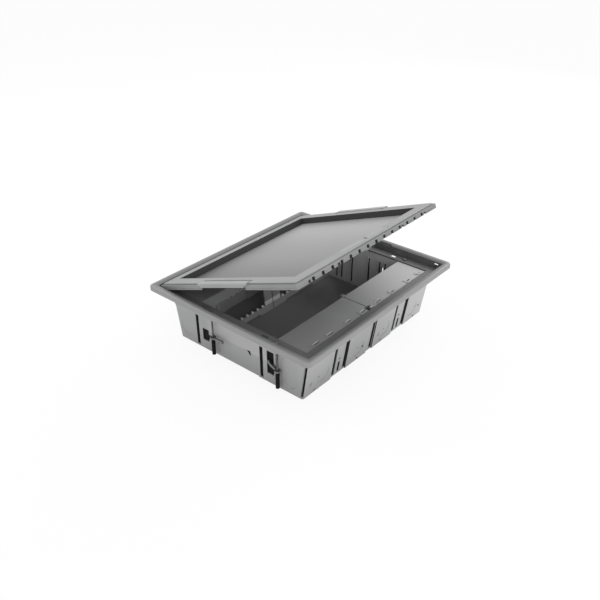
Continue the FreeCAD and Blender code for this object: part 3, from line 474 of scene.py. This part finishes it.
def coated_sheet(name, tone, fields=()):
    """Powder-coated steel sheet with orange peel and a few light rub marks."""
    s = Shader(bpy.data.materials.new(name))
    peel = s.noise(520.0, 3.0, 0.55)
    clouds = s.noise(7.0, 2.0)
    rubs = s.noise(1.6, 4.0, 0.7, s.stretched((9.0, 300.0, 300.0))).clamped(0.62, 0.80)
    base = s.mix(clouds.clamped(0.3, 0.7), grey(tone * 0.95), grey(tone * 1.05))
    base = s.mix(rubs * 0.25, base, grey(tone * 1.5))
    # the fields paint light and reflection into the sheet's tone
    for mask, factor, depth in fields:
        base = s.mix(mask(s) * depth, base, grey(min(tone * factor, PALEST)))
    rough = 0.40 + (clouds - 0.5) * 0.12 + (peel - 0.5) * 0.10 - rubs * 0.06
    return s.finish(Base_Color=base, Roughness=rough, Normal=s.bump(peel, 0.25, 0.00008))


def plated_steel(name, tone, roughness, warmth):
    """Zinc plate: cloudy spangle, drawn streaks and slightly dulled edges."""
    s = Shader(bpy.data.materials.new(name))
    spangle = s.noise(420.0, 3.0, 0.6)
    streaks = s.noise(2200.0, 2.0, 0.5, s.stretched((1.0, 1.0, 0.06)))
    edges = s.worn_edges(0.0004)
    base = s.mix(spangle.clamped(0.3, 0.7), grey(tone * 0.82, warmth), grey(tone * 1.08, warmth * 0.5))
    base = s.mix(edges * 0.4, base, grey(min(tone * 1.35, 0.9)))
    rough = roughness + (spangle - 0.5) * 0.16 + (streaks - 0.5) * 0.10
    return s.finish(Base_Color=base, Metallic=0.92, Roughness=rough, Normal=s.bump(streaks, 0.15, 0.00003))


def rubber_and_shade_black(name, tone):
    """Extruded sealing rubber with a dusty bloom; also the near-black of the pieces that stand for painted
    shade.
    """
    s = Shader(bpy.data.materials.new(name))
    bloom = s.noise(60.0, 4.0, 0.6)
    pores = s.noise(1800.0, 2.0, 0.5)
    base = s.mix(bloom.clamped(0.45, 0.8) * 0.5, grey(tone), grey(tone * 2.0))
    rough = 0.72 + (bloom - 0.5) * 0.2
    normal = s.bump(pores, 0.3, 0.00005)
    return s.finish(Base_Color=base, Roughness=rough, Normal=normal, Specular_IOR_Level=0.15)


def floor_paper(name, shade, shadow):
    """Matt pale floor that reads as white, with a light contact shadow."""
    s = Shader(bpy.data.materials.new(name))
    flecks = s.noise(6.0, 2.0)
    base = s.mix(flecks.clamped(0.2, 0.8), grey(shade * 0.995), grey(shade))
    paper = s.node("ShaderNodeBsdfDiffuse", {}, {"Color": base})["BSDF"]
    white = s.node("ShaderNodeEmission", {}, {"Color": grey(1.0), "Strength": 1.0})["Emission"]
    return s.show(s.blend(s.backdrop_rays() * (1.0 - shadow), paper, white))


# -------------------------------------------------------------- properties

class BoxFinishes(bpy.types.PropertyGroup):
    """Greys and edge rounding that a user would change."""

    tub_tone: bpy.props.FloatProperty(
        name="Tub tone", description="Grey of the tub", default=0.34, min=0.0, max=1.0)
    rim_tone: bpy.props.FloatProperty(
        name="Rim tone", description="Grey of the rim", default=0.20, min=0.0, max=1.0)
    lid_tone: bpy.props.FloatProperty(
        name="Lid tone", description="Grey of the lid frame", default=0.27, min=0.0, max=1.0)
    frame_tone: bpy.props.FloatProperty(
        name="Frame tone", description="Grey of the device frames", default=0.26, min=0.0, max=1.0)
    cover_tone: bpy.props.FloatProperty(
        name="Cover tone", description="Grey of the covers", default=0.31, min=0.0, max=1.0)
    plate_tone: bpy.props.FloatProperty(
        name="Plate tone", description="Grey of the lid plate", default=0.25, min=0.0, max=1.0)
    arm_tone: bpy.props.FloatProperty(
        name="Clamp arm tone", description="Grey of the clamp arms", default=0.20, min=0.0, max=1.0)
    edge_round: bpy.props.FloatProperty(
        name="Edge rounding", description="Radius of moulded edges", default=0.35 * MM, min=0.0, max=2.0 * MM,
        unit="LENGTH", precision=5)


class BoxStudio(bpy.types.PropertyGroup):
    """Camera and light."""

    lens: bpy.props.FloatProperty(
        name="Lens", description="Focal length for a 36 mm wide sensor", default=42.633, min=10.0, max=200.0,
        unit="CAMERA")
    camera: bpy.props.FloatVectorProperty(
        name="Camera", description="Place of the camera", size=3, subtype="TRANSLATION",
        default=(-0.68539, -0.56971, 0.57656))
    target: bpy.props.FloatVectorProperty(
        name="Target", description="Point the camera looks at", size=3, subtype="TRANSLATION",
        default=(0.10064, 0.09294, -0.04236))
    key_power: bpy.props.FloatProperty(
        name="Key light", description="Power of the lamp beside the box", default=8.0, min=0.0, unit="POWER")
    fill_power: bpy.props.FloatProperty(
        name="Fill light", description="Power of the lamp in front of the box", default=4.0, min=0.0,
        unit="POWER")
    rear_power: bpy.props.FloatProperty(
        name="Rear light", description="Power of the lamp behind the box", default=4.0, min=0.0, unit="POWER")
    world_strength: bpy.props.FloatProperty(
        name="Surround", description="Strength of the surrounding light", default=1.0, min=0.0, max=2.0)


# ----------------------------------------------------------------- helpers

def soften_edges(node, radius):
    """Rounds the hard edges of a CAD node without touching its own mesh."""
    weld = node.modifiers.new("weld", "WELD")
    weld.merge_threshold = 0.01 * MM
    bevel = node.modifiers.new("rounding", "BEVEL")
    bevel.width = radius
    bevel.segments = 2
    bevel.limit_method = "ANGLE"
    bevel.angle_limit = math.radians(50)
    bevel.use_clamp_overlap = True
    bevel.harden_normals = False
    node.modifiers.new("even shading", "WEIGHTED_NORMAL").keep_sharp = True


def paint(names, material, rounding=0.0):
    """Gives CAD nodes a material, and rounds their edges where a radius is given."""
    for name in names:
        node = NODES[name]
        for slot in node.material_slots:
            slot.material = material
        if rounding:
            soften_edges(node, rounding)


def add_block(build, low, high, turn=0.0):
    """A block from its low to its high corner in millimetres, turned about Y through its middle."""
    low, high = Vector(low) * MM, Vector(high) * MM
    middle, size = (low + high) / 2, high - low
    tilt = Matrix.Rotation(math.radians(turn), 4, "Y")
    place = Matrix.Translation(middle) @ tilt @ Matrix.Diagonal((*size, 1.0))
    bmesh.ops.create_cube(build, size=1.0, matrix=place)


def half_width(height):
    """Half the tub's outer width at a height."""
    return FOOT_HALF_Y + LEAN_Y * height


def mirrored(side, first, second):
    """A stretch on one side of the box (-1 or 1), from its lower to its higher end."""
    return sorted((side * first, side * second))


def add_leaning_block(build, width, depth, height):
    """A block that leans with the front wall, between two depths below its face, in millimetres."""
    corners = []
    for z in height:
        for inset in depth:
            corners.append([build.verts.new(Vector((x, inset - half_width(z), z)) * MM) for x in width])
    (a, b), (c, d), (e, f), (g, h) = corners
    for face in ((a, b, d, c), (e, g, h, f), (a, e, f, b), (c, d, h, g), (a, c, g, e), (b, f, h, d)):
        build.faces.new(face)


def ring_point(centre, radius, angle, height):
    """A point on a circle about an upright axis, in metres."""
    x, y = centre
    return (x + radius * math.cos(angle)) * MM, (y + radius * math.sin(angle)) * MM, height * MM


def add_turned(build, centre, profile, steps=32):
    """A turned solid about an upright axis, from (radius, height) pairs in millimetres."""
    angles = [2 * math.pi * k / steps for k in range(steps)]
    rings = []
    for radius, height in profile:
        around = angles if radius else angles[:1]
        rings.append([build.verts.new(ring_point(centre, radius, angle, height)) for angle in around])
    for lower, upper in zip(rings, rings[1:]):
        for k in range(steps):
            corners = [lower[k % len(lower)], lower[(k + 1) % len(lower)],
                       upper[(k + 1) % len(upper)], upper[k % len(upper)]]
            build.faces.new(list(dict.fromkeys(corners)))


def add_thread(build, centre, radius, low, high, pitch, steps=16):
    """A raised thread that winds up a shank."""
    count = int((high - low) / pitch * steps)
    section = ((radius - 0.3, -0.36 * pitch), (radius + 0.35, 0.0), (radius - 0.3, 0.36 * pitch))
    rings = []
    for k in range(count + 1):
        angle, height = 2 * math.pi * k / steps, low + (high - low) * k / count
        rings.append([build.verts.new(ring_point(centre, r, angle, height + rise)) for r, rise in section])
    for one, two in zip(rings, rings[1:]):
        for k in range(3):
            build.faces.new((one[k], one[(k + 1) % 3], two[(k + 1) % 3], two[k]))
    build.faces.new(rings[0][::-1])
    build.faces.new(rings[-1])


def new_piece(name, build, material, body, rounding=0.0, smooth=False):
    """Turns a finished mesh into a piece that moves with a body; the rounding is in millimetres."""
    bmesh.ops.recalc_face_normals(build, faces=build.faces)
    mesh = bpy.data.meshes.new(name)
    build.to_mesh(mesh)
    build.free()
    for face in mesh.polygons:
        face.use_smooth = smooth
    mesh.materials.append(material)
    piece = bpy.data.objects.new(name, mesh)
    bpy.context.scene.collection.objects.link(piece)
    if rounding:
        bevel = piece.modifiers.new("rounding", "BEVEL")
        bevel.width = rounding * MM
        bevel.segments = 2
        bevel.limit_method = "ANGLE"
    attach(piece, body)
    return piece


def named(*patterns):
    """Names of all nodes that start with one of the patterns."""
    return [name for name in NODES if name.startswith(patterns)]


def settings():
    """The scene's finishes and studio settings."""
    return bpy.context.scene.box_finishes, bpy.context.scene.box_studio


# --------------------------------------------------------------- operators

class BOX_OT_body(bpy.types.Operator):
    """Finish of the tub, the rim and their screws and pins"""

    bl_idname = "box.body"
    bl_label = "Tub and rim"

    def execute(self, context):
        finishes, _ = settings()
        # painted light and shade on the tub: paler high on the walls, above the step, towards the right of
        # the front wall and on the inner right end wall; darker low on the walls and on the inside floor;
        # near black on the slots' sides and the lips beside them
        tub_fields = ((high_on_wall, 1.35, 0.7), (low_on_wall, 0.75, 0.6), (front_right, 1.6, 0.75),
                      (above_step, 1.5, 0.5), (inner_end_wall, 1.8, 0.9), (inside_floor, 0.55, 0.9),
                      (slot_side_shade, 0.02, SLOT_SHADE), (slot_lip_shade, 0.03, SLOT_SHADE))
        tub = moulded_plastic("tub_plastic", finishes.tub_tone, 0.52, fields=tub_fields)
        # painted light and shade on the rim: paler towards its outer edge, darker at the well's edge and on
        # the seat
        rim_fields = ((rim_outer, 1.45, 0.9), (rim_inner, 0.62, 0.8))
        rim = moulded_plastic("rim_plastic", finishes.rim_tone, 0.36, 0.7, fields=rim_fields)
        paint(["tub"], tub, finishes.edge_round)
        paint(["rim"], rim, finishes.edge_round)
        paint(named("hinge_pin"), plated_steel("zinc_plate", 0.50, 0.34, 0.02))
        # near-black material for the pieces that stand for painted shade in openings, pits and recesses
        shade_black = rubber_and_shade_black("black_foam", 0.006)
        self.add_window_shade_blocks(shade_black)
        self.add_slot_shade_blocks(shade_black)
        self.add_vent_shade_block(shade_black)
        self.add_knockout_pit_shade(shade_black)
        self.add_hook_shade_pads(shade_black)
        self.add_end_ribs(tub)
        self.add_rib_shade_strips(rubber_and_shade_black("groove_black", 0.01))
        self.add_hatch_webs(rim)
        self.add_rim_screws(rim)
        return {"FINISHED"}

    def add_window_shade_blocks(self, shade_black):
        """Near-black blocks behind the windows and guide slots of the left end wall: painted shade of the
        dark inside seen through them.
        """
        build = bmesh.new()
        guides = [(y - GUIDE_HALF, y + GUIDE_HALF, SLOT_FOOT, SLOT_HEAD) for y in GUIDE_SLOTS]
        for y0, y1, z0, z1 in list(WINDOWS) + guides:
            add_block(build, (-WALL_X, y0 - 0.3, z0 - 0.2), (-WALL_X + 0.7, y1 + 0.3, z1 + 0.3))
        new_piece("window_blinds", build, shade_black, "box", 0.1)

    def add_slot_shade_blocks(self, shade_black):
        """Near-black blocks deep in the slots of the front wall's channels: painted shade of the inside seen
        through them.
        """
        build = bmesh.new()
        for x0, x1 in SLOT_SPANS:
            add_leaning_block(build, (x0 - SHADE_BLOCK_LAP, x1 + SHADE_BLOCK_LAP), SHADE_BLOCK_DEPTHS, SHADE_BLOCK_HEIGHTS)
        new_piece("slot_blinds", build, shade_black, "box")

    def add_vent_shade_block(self, shade_black):
        """A three-cornered near-black piece in the vent of the left end wall: painted shade of the inside
        seen through it.
        """
        build = bmesh.new()
        inner, outer = [[build.verts.new(Vector((x, y, z)) * MM) for y, z in VENT] for x in (-138.6, -137.6)]
        build.faces.new(inner)
        build.faces.new(outer)
        for k in range(3):
            build.faces.new((inner[k], inner[(k + 1) % 3], outer[(k + 1) % 3], outer[k]))
        new_piece("vent_blind", build, shade_black, "box")

    def add_knockout_pit_shade(self, shade_black):
        """Small near-black pieces in the middle of the knock-outs: painted shade of the small pit there."""
        build = bmesh.new()
        foot, head = KNOCKOUT_HEIGHT - KNOCKOUT_SHADE_HALF, KNOCKOUT_HEIGHT + KNOCKOUT_SHADE_HALF
        y = half_width(KNOCKOUT_HEIGHT)
        for x in KNOCKOUT_X:
            for side in (-1, 1):
                low, high = mirrored(side, y - 0.6, y - 0.3)
                add_block(build, (x - KNOCKOUT_SHADE_HALF, low, foot), (x + KNOCKOUT_SHADE_HALF, high, head), 45.0)
        for y in KNOCKOUT_Y:
            for side in (-1, 1):
                low, high = mirrored(side, 139.3, 139.78)
                add_block(build, (low, y - KNOCKOUT_SHADE_HALF, foot), (high, y + KNOCKOUT_SHADE_HALF, head))
        new_piece("knockout_marks", build, shade_black, "box", 0.1)

    def add_hook_shade_pads(self, shade_black):
        """Near-black pads in the slanted hook recesses of the long walls: painted shade of the recesses."""
        build = bmesh.new()
        for edge, inward in HOOK_EDGES:
            for distance, z in HOOK_STEPS:
                x, y = edge + inward * distance, half_width(z)
                for side in (-1, 1):
                    low, high = mirrored(side, y - 1.2, y - 0.25)
                    add_block(build, (x - 2.5, low, z - 0.85), (x + 2.5, high, z + 0.85), HOOK_TURN * inward)
        new_piece("hook_pads", build, shade_black, "box", 0.1)

    def add_end_ribs(self, material):
        """Stiffening ribs on the inner faces of the end walls."""
        build = bmesh.new()
        for side in (-1, 1):
            low, high = mirrored(side, 136.3, 138.6)
            for y in END_RIBS:
                add_block(build, (low, y - RIB_HALF, RIB_FOOT), (high, y + RIB_HALF, RIB_HEAD))
        new_piece("end_wall_ribs", build, material, "box", 0.3)

    def add_rib_shade_strips(self, material):
        """Near-black strips beside the stiffening ribs: painted shade."""
        build = bmesh.new()
        for side in (-1, 1):
            low, high = mirrored(side, 137.0, 138.5)
            for y in END_RIBS:
                add_block(build, (low, y - RIB_SHADE_EDGE, RIB_FOOT + 2.0), (high, y - RIB_HALF, RIB_HEAD - 2.0))
        new_piece("end_wall_grooves", build, material, "box")

    def add_hatch_webs(self, material):
        """Thin tear-out webs that close the hatches in the left end of the seat."""
        x0, x1, y0, y1 = HATCH
        build = bmesh.new()
        for side in (-1, 1):
            low, high = mirrored(side, y0, y1)
            add_block(build, (-x1 - HATCH_LAP, low - HATCH_LAP, SEAT_TOP - 3.0),
                      (-x0 + HATCH_LAP, high + HATCH_LAP, SEAT_TOP - 2.3))
        new_piece("hatch_webs", build, material, "box", 0.2)

    def add_rim_screws(self, material):
        """Countersunk plastic screws in the corners of the seat."""
        build = bmesh.new()
        profile = [(radius, SEAT_TOP + height) for radius, height in RIM_SCREW]
        for x in (-RIM_SCREW_X, RIM_SCREW_X):
            for y in (-RIM_SCREW_Y, RIM_SCREW_Y):
                add_turned(build, (x, y), profile)
        new_piece("rim_screws", build, material, "box", smooth=True)


class BOX_OT_inside(bpy.types.Operator):
    """Finish of the device frames and their covers"""

    bl_idname = "box.inside"
    bl_label = "Frames and covers"

    def execute(self, context):
        finishes, _ = settings()
        # painted light on the frames: paler foot rail and much paler window hooks
        frame_fields = ((foot_rail, 1.35, 0.9), (window_hooks, 2.6, 0.95))
        frames = moulded_plastic("frame_plastic", finishes.frame_tone, 0.48, fields=frame_fields)
        paint(named("device_frame"), frames, finishes.edge_round)
        # painted light and reflection on the covers: paler towards the right end, darker towards the left end
        cover_fields = ((right_end, 2.0, 0.9), (left_end, 0.62, 0.7))
        covers = moulded_plastic("cover_plastic", finishes.cover_tone, 0.42, 0.8, fields=cover_fields)
        paint(named("device_cover"), covers, finishes.edge_round)
        # the tabs are a paler copy of the cover plastic, as painted highlight on their raised tops, and
        # darker towards the left end as painted shade
        tabs = moulded_plastic("tab_plastic", finishes.cover_tone * 1.7, 0.36, 0.8,
                               fields=((left_end, 0.7, 0.8),))
        for row, side in (("front", -1), ("rear", 1)):
            self.add_tabs(row, side, tabs)
            self.add_tab_shadows(row, side)
            self.add_clip(row, side)
        return {"FINISHED"}

    def add_tabs(self, row, side, material):
        """Lifting tabs along the outer edge of the covers, and the latch block where two covers meet."""
        build = bmesh.new()
        low, high = mirrored(side, 111.0, 113.2)
        for x in TABS:
            add_block(build, (x - TAB_HALF, low, COVER_TOP - 0.3), (x + TAB_HALF, high, COVER_TOP + TAB_RISE),
                      TAB_TILT)
        low, high = mirrored(side, 113.4, 116.8)
        add_block(build, (1.4, low, COVER_TOP - 2.0), (6.4, high, COVER_TOP + TAB_RISE))
        new_piece("cover_tabs_" + row, build, material, "box", 0.35)

    def add_tab_shadows(self, row, side):
        """Near-black thin pads behind the lifting tabs: painted shadow of the tabs."""
        build = bmesh.new()
        low, high = mirrored(side, 113.2, 114.4)
        for x in TABS:
            add_block(build, (x - 4.6, low, COVER_TOP - 0.2), (x + 5.6, high, COVER_TOP + 0.06))
        black = rubber_and_shade_black("tab_slot_black_" + row, 0.02)
        new_piece("tab_slots_" + row, build, black, "box")

    def add_clip(self, row, side):
        """The steel clip at the inner edge, where two covers meet."""
        build = bmesh.new()
        low, high = mirrored(side, 64.4, 69.4)
        add_block(build, (0.6, low, COVER_TOP - 4.0), (5.6, high, COVER_TOP + 0.7))
        steel = plated_steel("clip_steel_" + row, 0.62, 0.30, 0.01)
        new_piece("cover_clip_" + row, build, steel, "box", 0.5)


class BOX_OT_lid(bpy.types.Operator):
    """Finish of the lid with its plate, seal, handle and outlet flaps"""

    bl_idname = "box.lid"
    bl_label = "Lid"

    def execute(self, context):
        finishes, _ = settings()
        rounding = finishes.edge_round
        # painted shade on the lid frame: the walls of the recess are made nearly black
        border = moulded_plastic("lid_frame_plastic", finishes.lid_tone, 0.40, 0.8,
                                 fields=((recess_sides, 0.06, 0.9),))
        # the handle and flaps are a paler copy of the lid plastic, as painted light that makes them stand out
        # from the border
        shell = moulded_plastic("lid_plastic", finishes.lid_tone * 1.12, 0.36, 0.8)
        carrier = moulded_plastic("carrier_plastic", finishes.lid_tone * 0.90, 0.46)
        # painted reflection and light on the lid plate: paler towards the right end, darker towards the left
        # end
        sheet = coated_sheet("coated_sheet", finishes.plate_tone,
                             fields=((right_end, 1.7, 0.9), (left_end, 0.45, 0.85)))
        paint(["lid_frame"], border, rounding)
        paint(["lid_handle"] + named("outlet_flap"), shell, rounding)
        paint(["lid_carrier"], carrier, rounding)
        paint(["lid_plate"], sheet)
        paint(["lid_seal", "lid_edge_strip"], rubber_and_shade_black("seal_rubber", 0.012))
        paint(["handle_pin"] + named("outlet_pin"), plated_steel("lid_zinc", 0.50, 0.34, 0.02))
        return {"FINISHED"}


class BOX_OT_clamps(bpy.types.Operator):
    """Finish of the floor clamps"""

    bl_idname = "box.clamps"
    bl_label = "Floor clamps"

    def execute(self, context):
        finishes, _ = settings()
        screw = plated_steel("dark_steel", 0.20, 0.45, 0.0)
        sleeve = moulded_plastic("black_plastic", 0.006, 0.60, 0.6, 0.0, gloss=0.1)
        paint(named("clamp_arm"), plated_steel("arm_zinc", finishes.arm_tone, 0.44, 0.0))
        for row, y in CLAMP_Y.items():
            for side, sign in SIDES.items():
                self.add_screw(f"{row}_{side}", (sign * CLAMP_X, y), screw)
                self.add_sleeve(f"{row}_{side}", (sign * CLAMP_X, y), sleeve)
        return {"FINISHED"}

    def add_screw(self, place, centre, material):
        """A threaded screw with a recessed head on the rim's seat."""
        build = bmesh.new()
        add_turned(build, centre, SCREW)
        add_thread(build, centre, THREAD_RADIUS, THREAD_FOOT, THREAD_HEAD, THREAD_PITCH)
        piece = new_piece("threaded_screw_" + place, build, material, "clamp_screw_" + place,
                          smooth=True)
        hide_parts("clamp_screw_" + place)

    def add_sleeve(self, place, centre, material):
        """A ribbed sleeve round the foot of the screw."""
        build = bmesh.new()
        profile = [(SLEEVE_BORE, SLEEVE_FOOT)]
        for rib in range(SLEEVE_RIBS):
            foot = SLEEVE_FOOT + rib * SLEEVE_PITCH
            profile += [(SLEEVE_RIB, foot), (SLEEVE_RIB, foot + 1.7), (SLEEVE_NECK, foot + 2.0),
                        (SLEEVE_NECK, foot + 2.6)]
        profile += [(SLEEVE_RIB, SLEEVE_TOP - 0.3), (2.4, SLEEVE_TOP), (SLEEVE_BORE, SLEEVE_TOP),
                    (SLEEVE_BORE, SLEEVE_FOOT)]
        add_turned(build, centre, profile)
        bmesh.ops.remove_doubles(build, verts=build.verts, dist=0.001 * MM)
        piece = new_piece("ribbed_sleeve_" + place, build, material, "clamp_guide_" + place,
                          smooth=True)
        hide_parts("clamp_guide_" + place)


class BOX_OT_studio(bpy.types.Operator):
    """Pale floor, soft lamps, world and camera"""

    bl_idname = "box.studio"
    bl_label = "Studio"

    def execute(self, context):
        _, studio = settings()
        scene = context.scene
        scene.view_settings.view_transform = "Standard"
        self.add_floor(scene)
        for name, place, power in LAMPS:
            self.add_lamp(scene, name, place, getattr(studio, power))
        self.add_world(scene, studio.world_strength)
        self.add_camera(scene, studio)
        return {"FINISHED"}

    def aimed(self, name, data, place, target):
        """An object that stands at a place and points at a target."""
        holder = bpy.data.objects.new(name, data)
        holder.location = place
        holder.rotation_euler = (Vector(target) - holder.location).to_track_quat("-Z", "Y").to_euler()
        return holder

    def add_floor(self, scene):
        """Pale floor under the box, wide enough to fill every view."""
        mesh = bpy.data.meshes.new("floor")
        build = bmesh.new()
        bmesh.ops.create_grid(build, x_segments=FLOOR_CELLS, y_segments=FLOOR_CELLS, size=FLOOR_HALF)
        build.to_mesh(mesh)
        build.free()
        floor = bpy.data.objects.new("floor", mesh)
        floor.location.z = CAD_BOX[0][2] - FLOOR_GAP
        mesh.materials.append(floor_paper("floor_paper", 0.95, 0.12))
        scene.collection.objects.link(floor)

    def add_lamp(self, scene, name, place, power):
        """A round soft lamp that points at the box."""
        lamp = bpy.data.lights.new(name, "AREA")
        lamp.shape = "DISK"
        lamp.size = LAMP_SIZE
        lamp.energy = power
        scene.collection.objects.link(self.aimed(name, lamp, place, LAMP_TARGET))

    def add_world(self, scene, strength):
        """Soft grey light from all round, with a white backdrop."""
        s = Shader(bpy.data.worlds.new("studio_world"))
        soft, white = [s.node("ShaderNodeBackground", {}, {"Color": grey(tone), "Strength": power})
                       for tone, power in ((SURROUND_GREY, strength), (1.0, 1.0))]
        light = s.blend(s.backdrop_rays(), soft["Background"], white["Background"])
        scene.world = s.show(light, "ShaderNodeOutputWorld")

    def add_camera(self, scene, studio):
        """The camera, with its lens and aim from the settings."""
        camera = bpy.data.cameras.new("camera")
        camera.lens = studio.lens
        camera.sensor_width = SENSOR_WIDTH
        holder = self.aimed("camera", camera, studio.camera, studio.target)
        scene.collection.objects.link(holder)
        scene.camera = holder


class BOX_PT_panel(bpy.types.Panel):
    """Buttons and settings of the floor box"""

    bl_label = "Floor Socket Box"
    bl_idname = "BOX_PT_panel"
    bl_space_type = "VIEW_3D"
    bl_region_type = "UI"
    bl_category = "Floor Box"

    def draw(self, context):
        for operator in OPERATORS:
            self.layout.operator(operator.bl_idname)
        for group in (context.scene.box_finishes, context.scene.box_studio):
            for key in group.bl_rna.properties.keys():
                if key not in ("rna_type", "name"):
                    self.layout.prop(group, key)


OPERATORS = (BOX_OT_body, BOX_OT_inside, BOX_OT_lid, BOX_OT_clamps, BOX_OT_studio)
CLASSES = (BoxFinishes, BoxStudio) + OPERATORS + (BOX_PT_panel,)


def register():
    """Adds the classes, and their settings on the scene."""
    for cls in CLASSES:
        bpy.utils.register_class(cls)
    bpy.types.Scene.box_finishes = bpy.props.PointerProperty(type=BoxFinishes)
    bpy.types.Scene.box_studio = bpy.props.PointerProperty(type=BoxStudio)


def unregister():
    """Takes the settings and classes away again."""
    del bpy.types.Scene.box_finishes
    del bpy.types.Scene.box_studio
    for cls in reversed(CLASSES):
        bpy.utils.unregister_class(cls)


def main():
    """Dresses the box and sets the studio."""
    register()
    bpy.ops.box.body()
    bpy.ops.box.inside()
    bpy.ops.box.lid()
    bpy.ops.box.clamps()
    bpy.ops.box.studio()


if __name__ == "__main__":
    main()
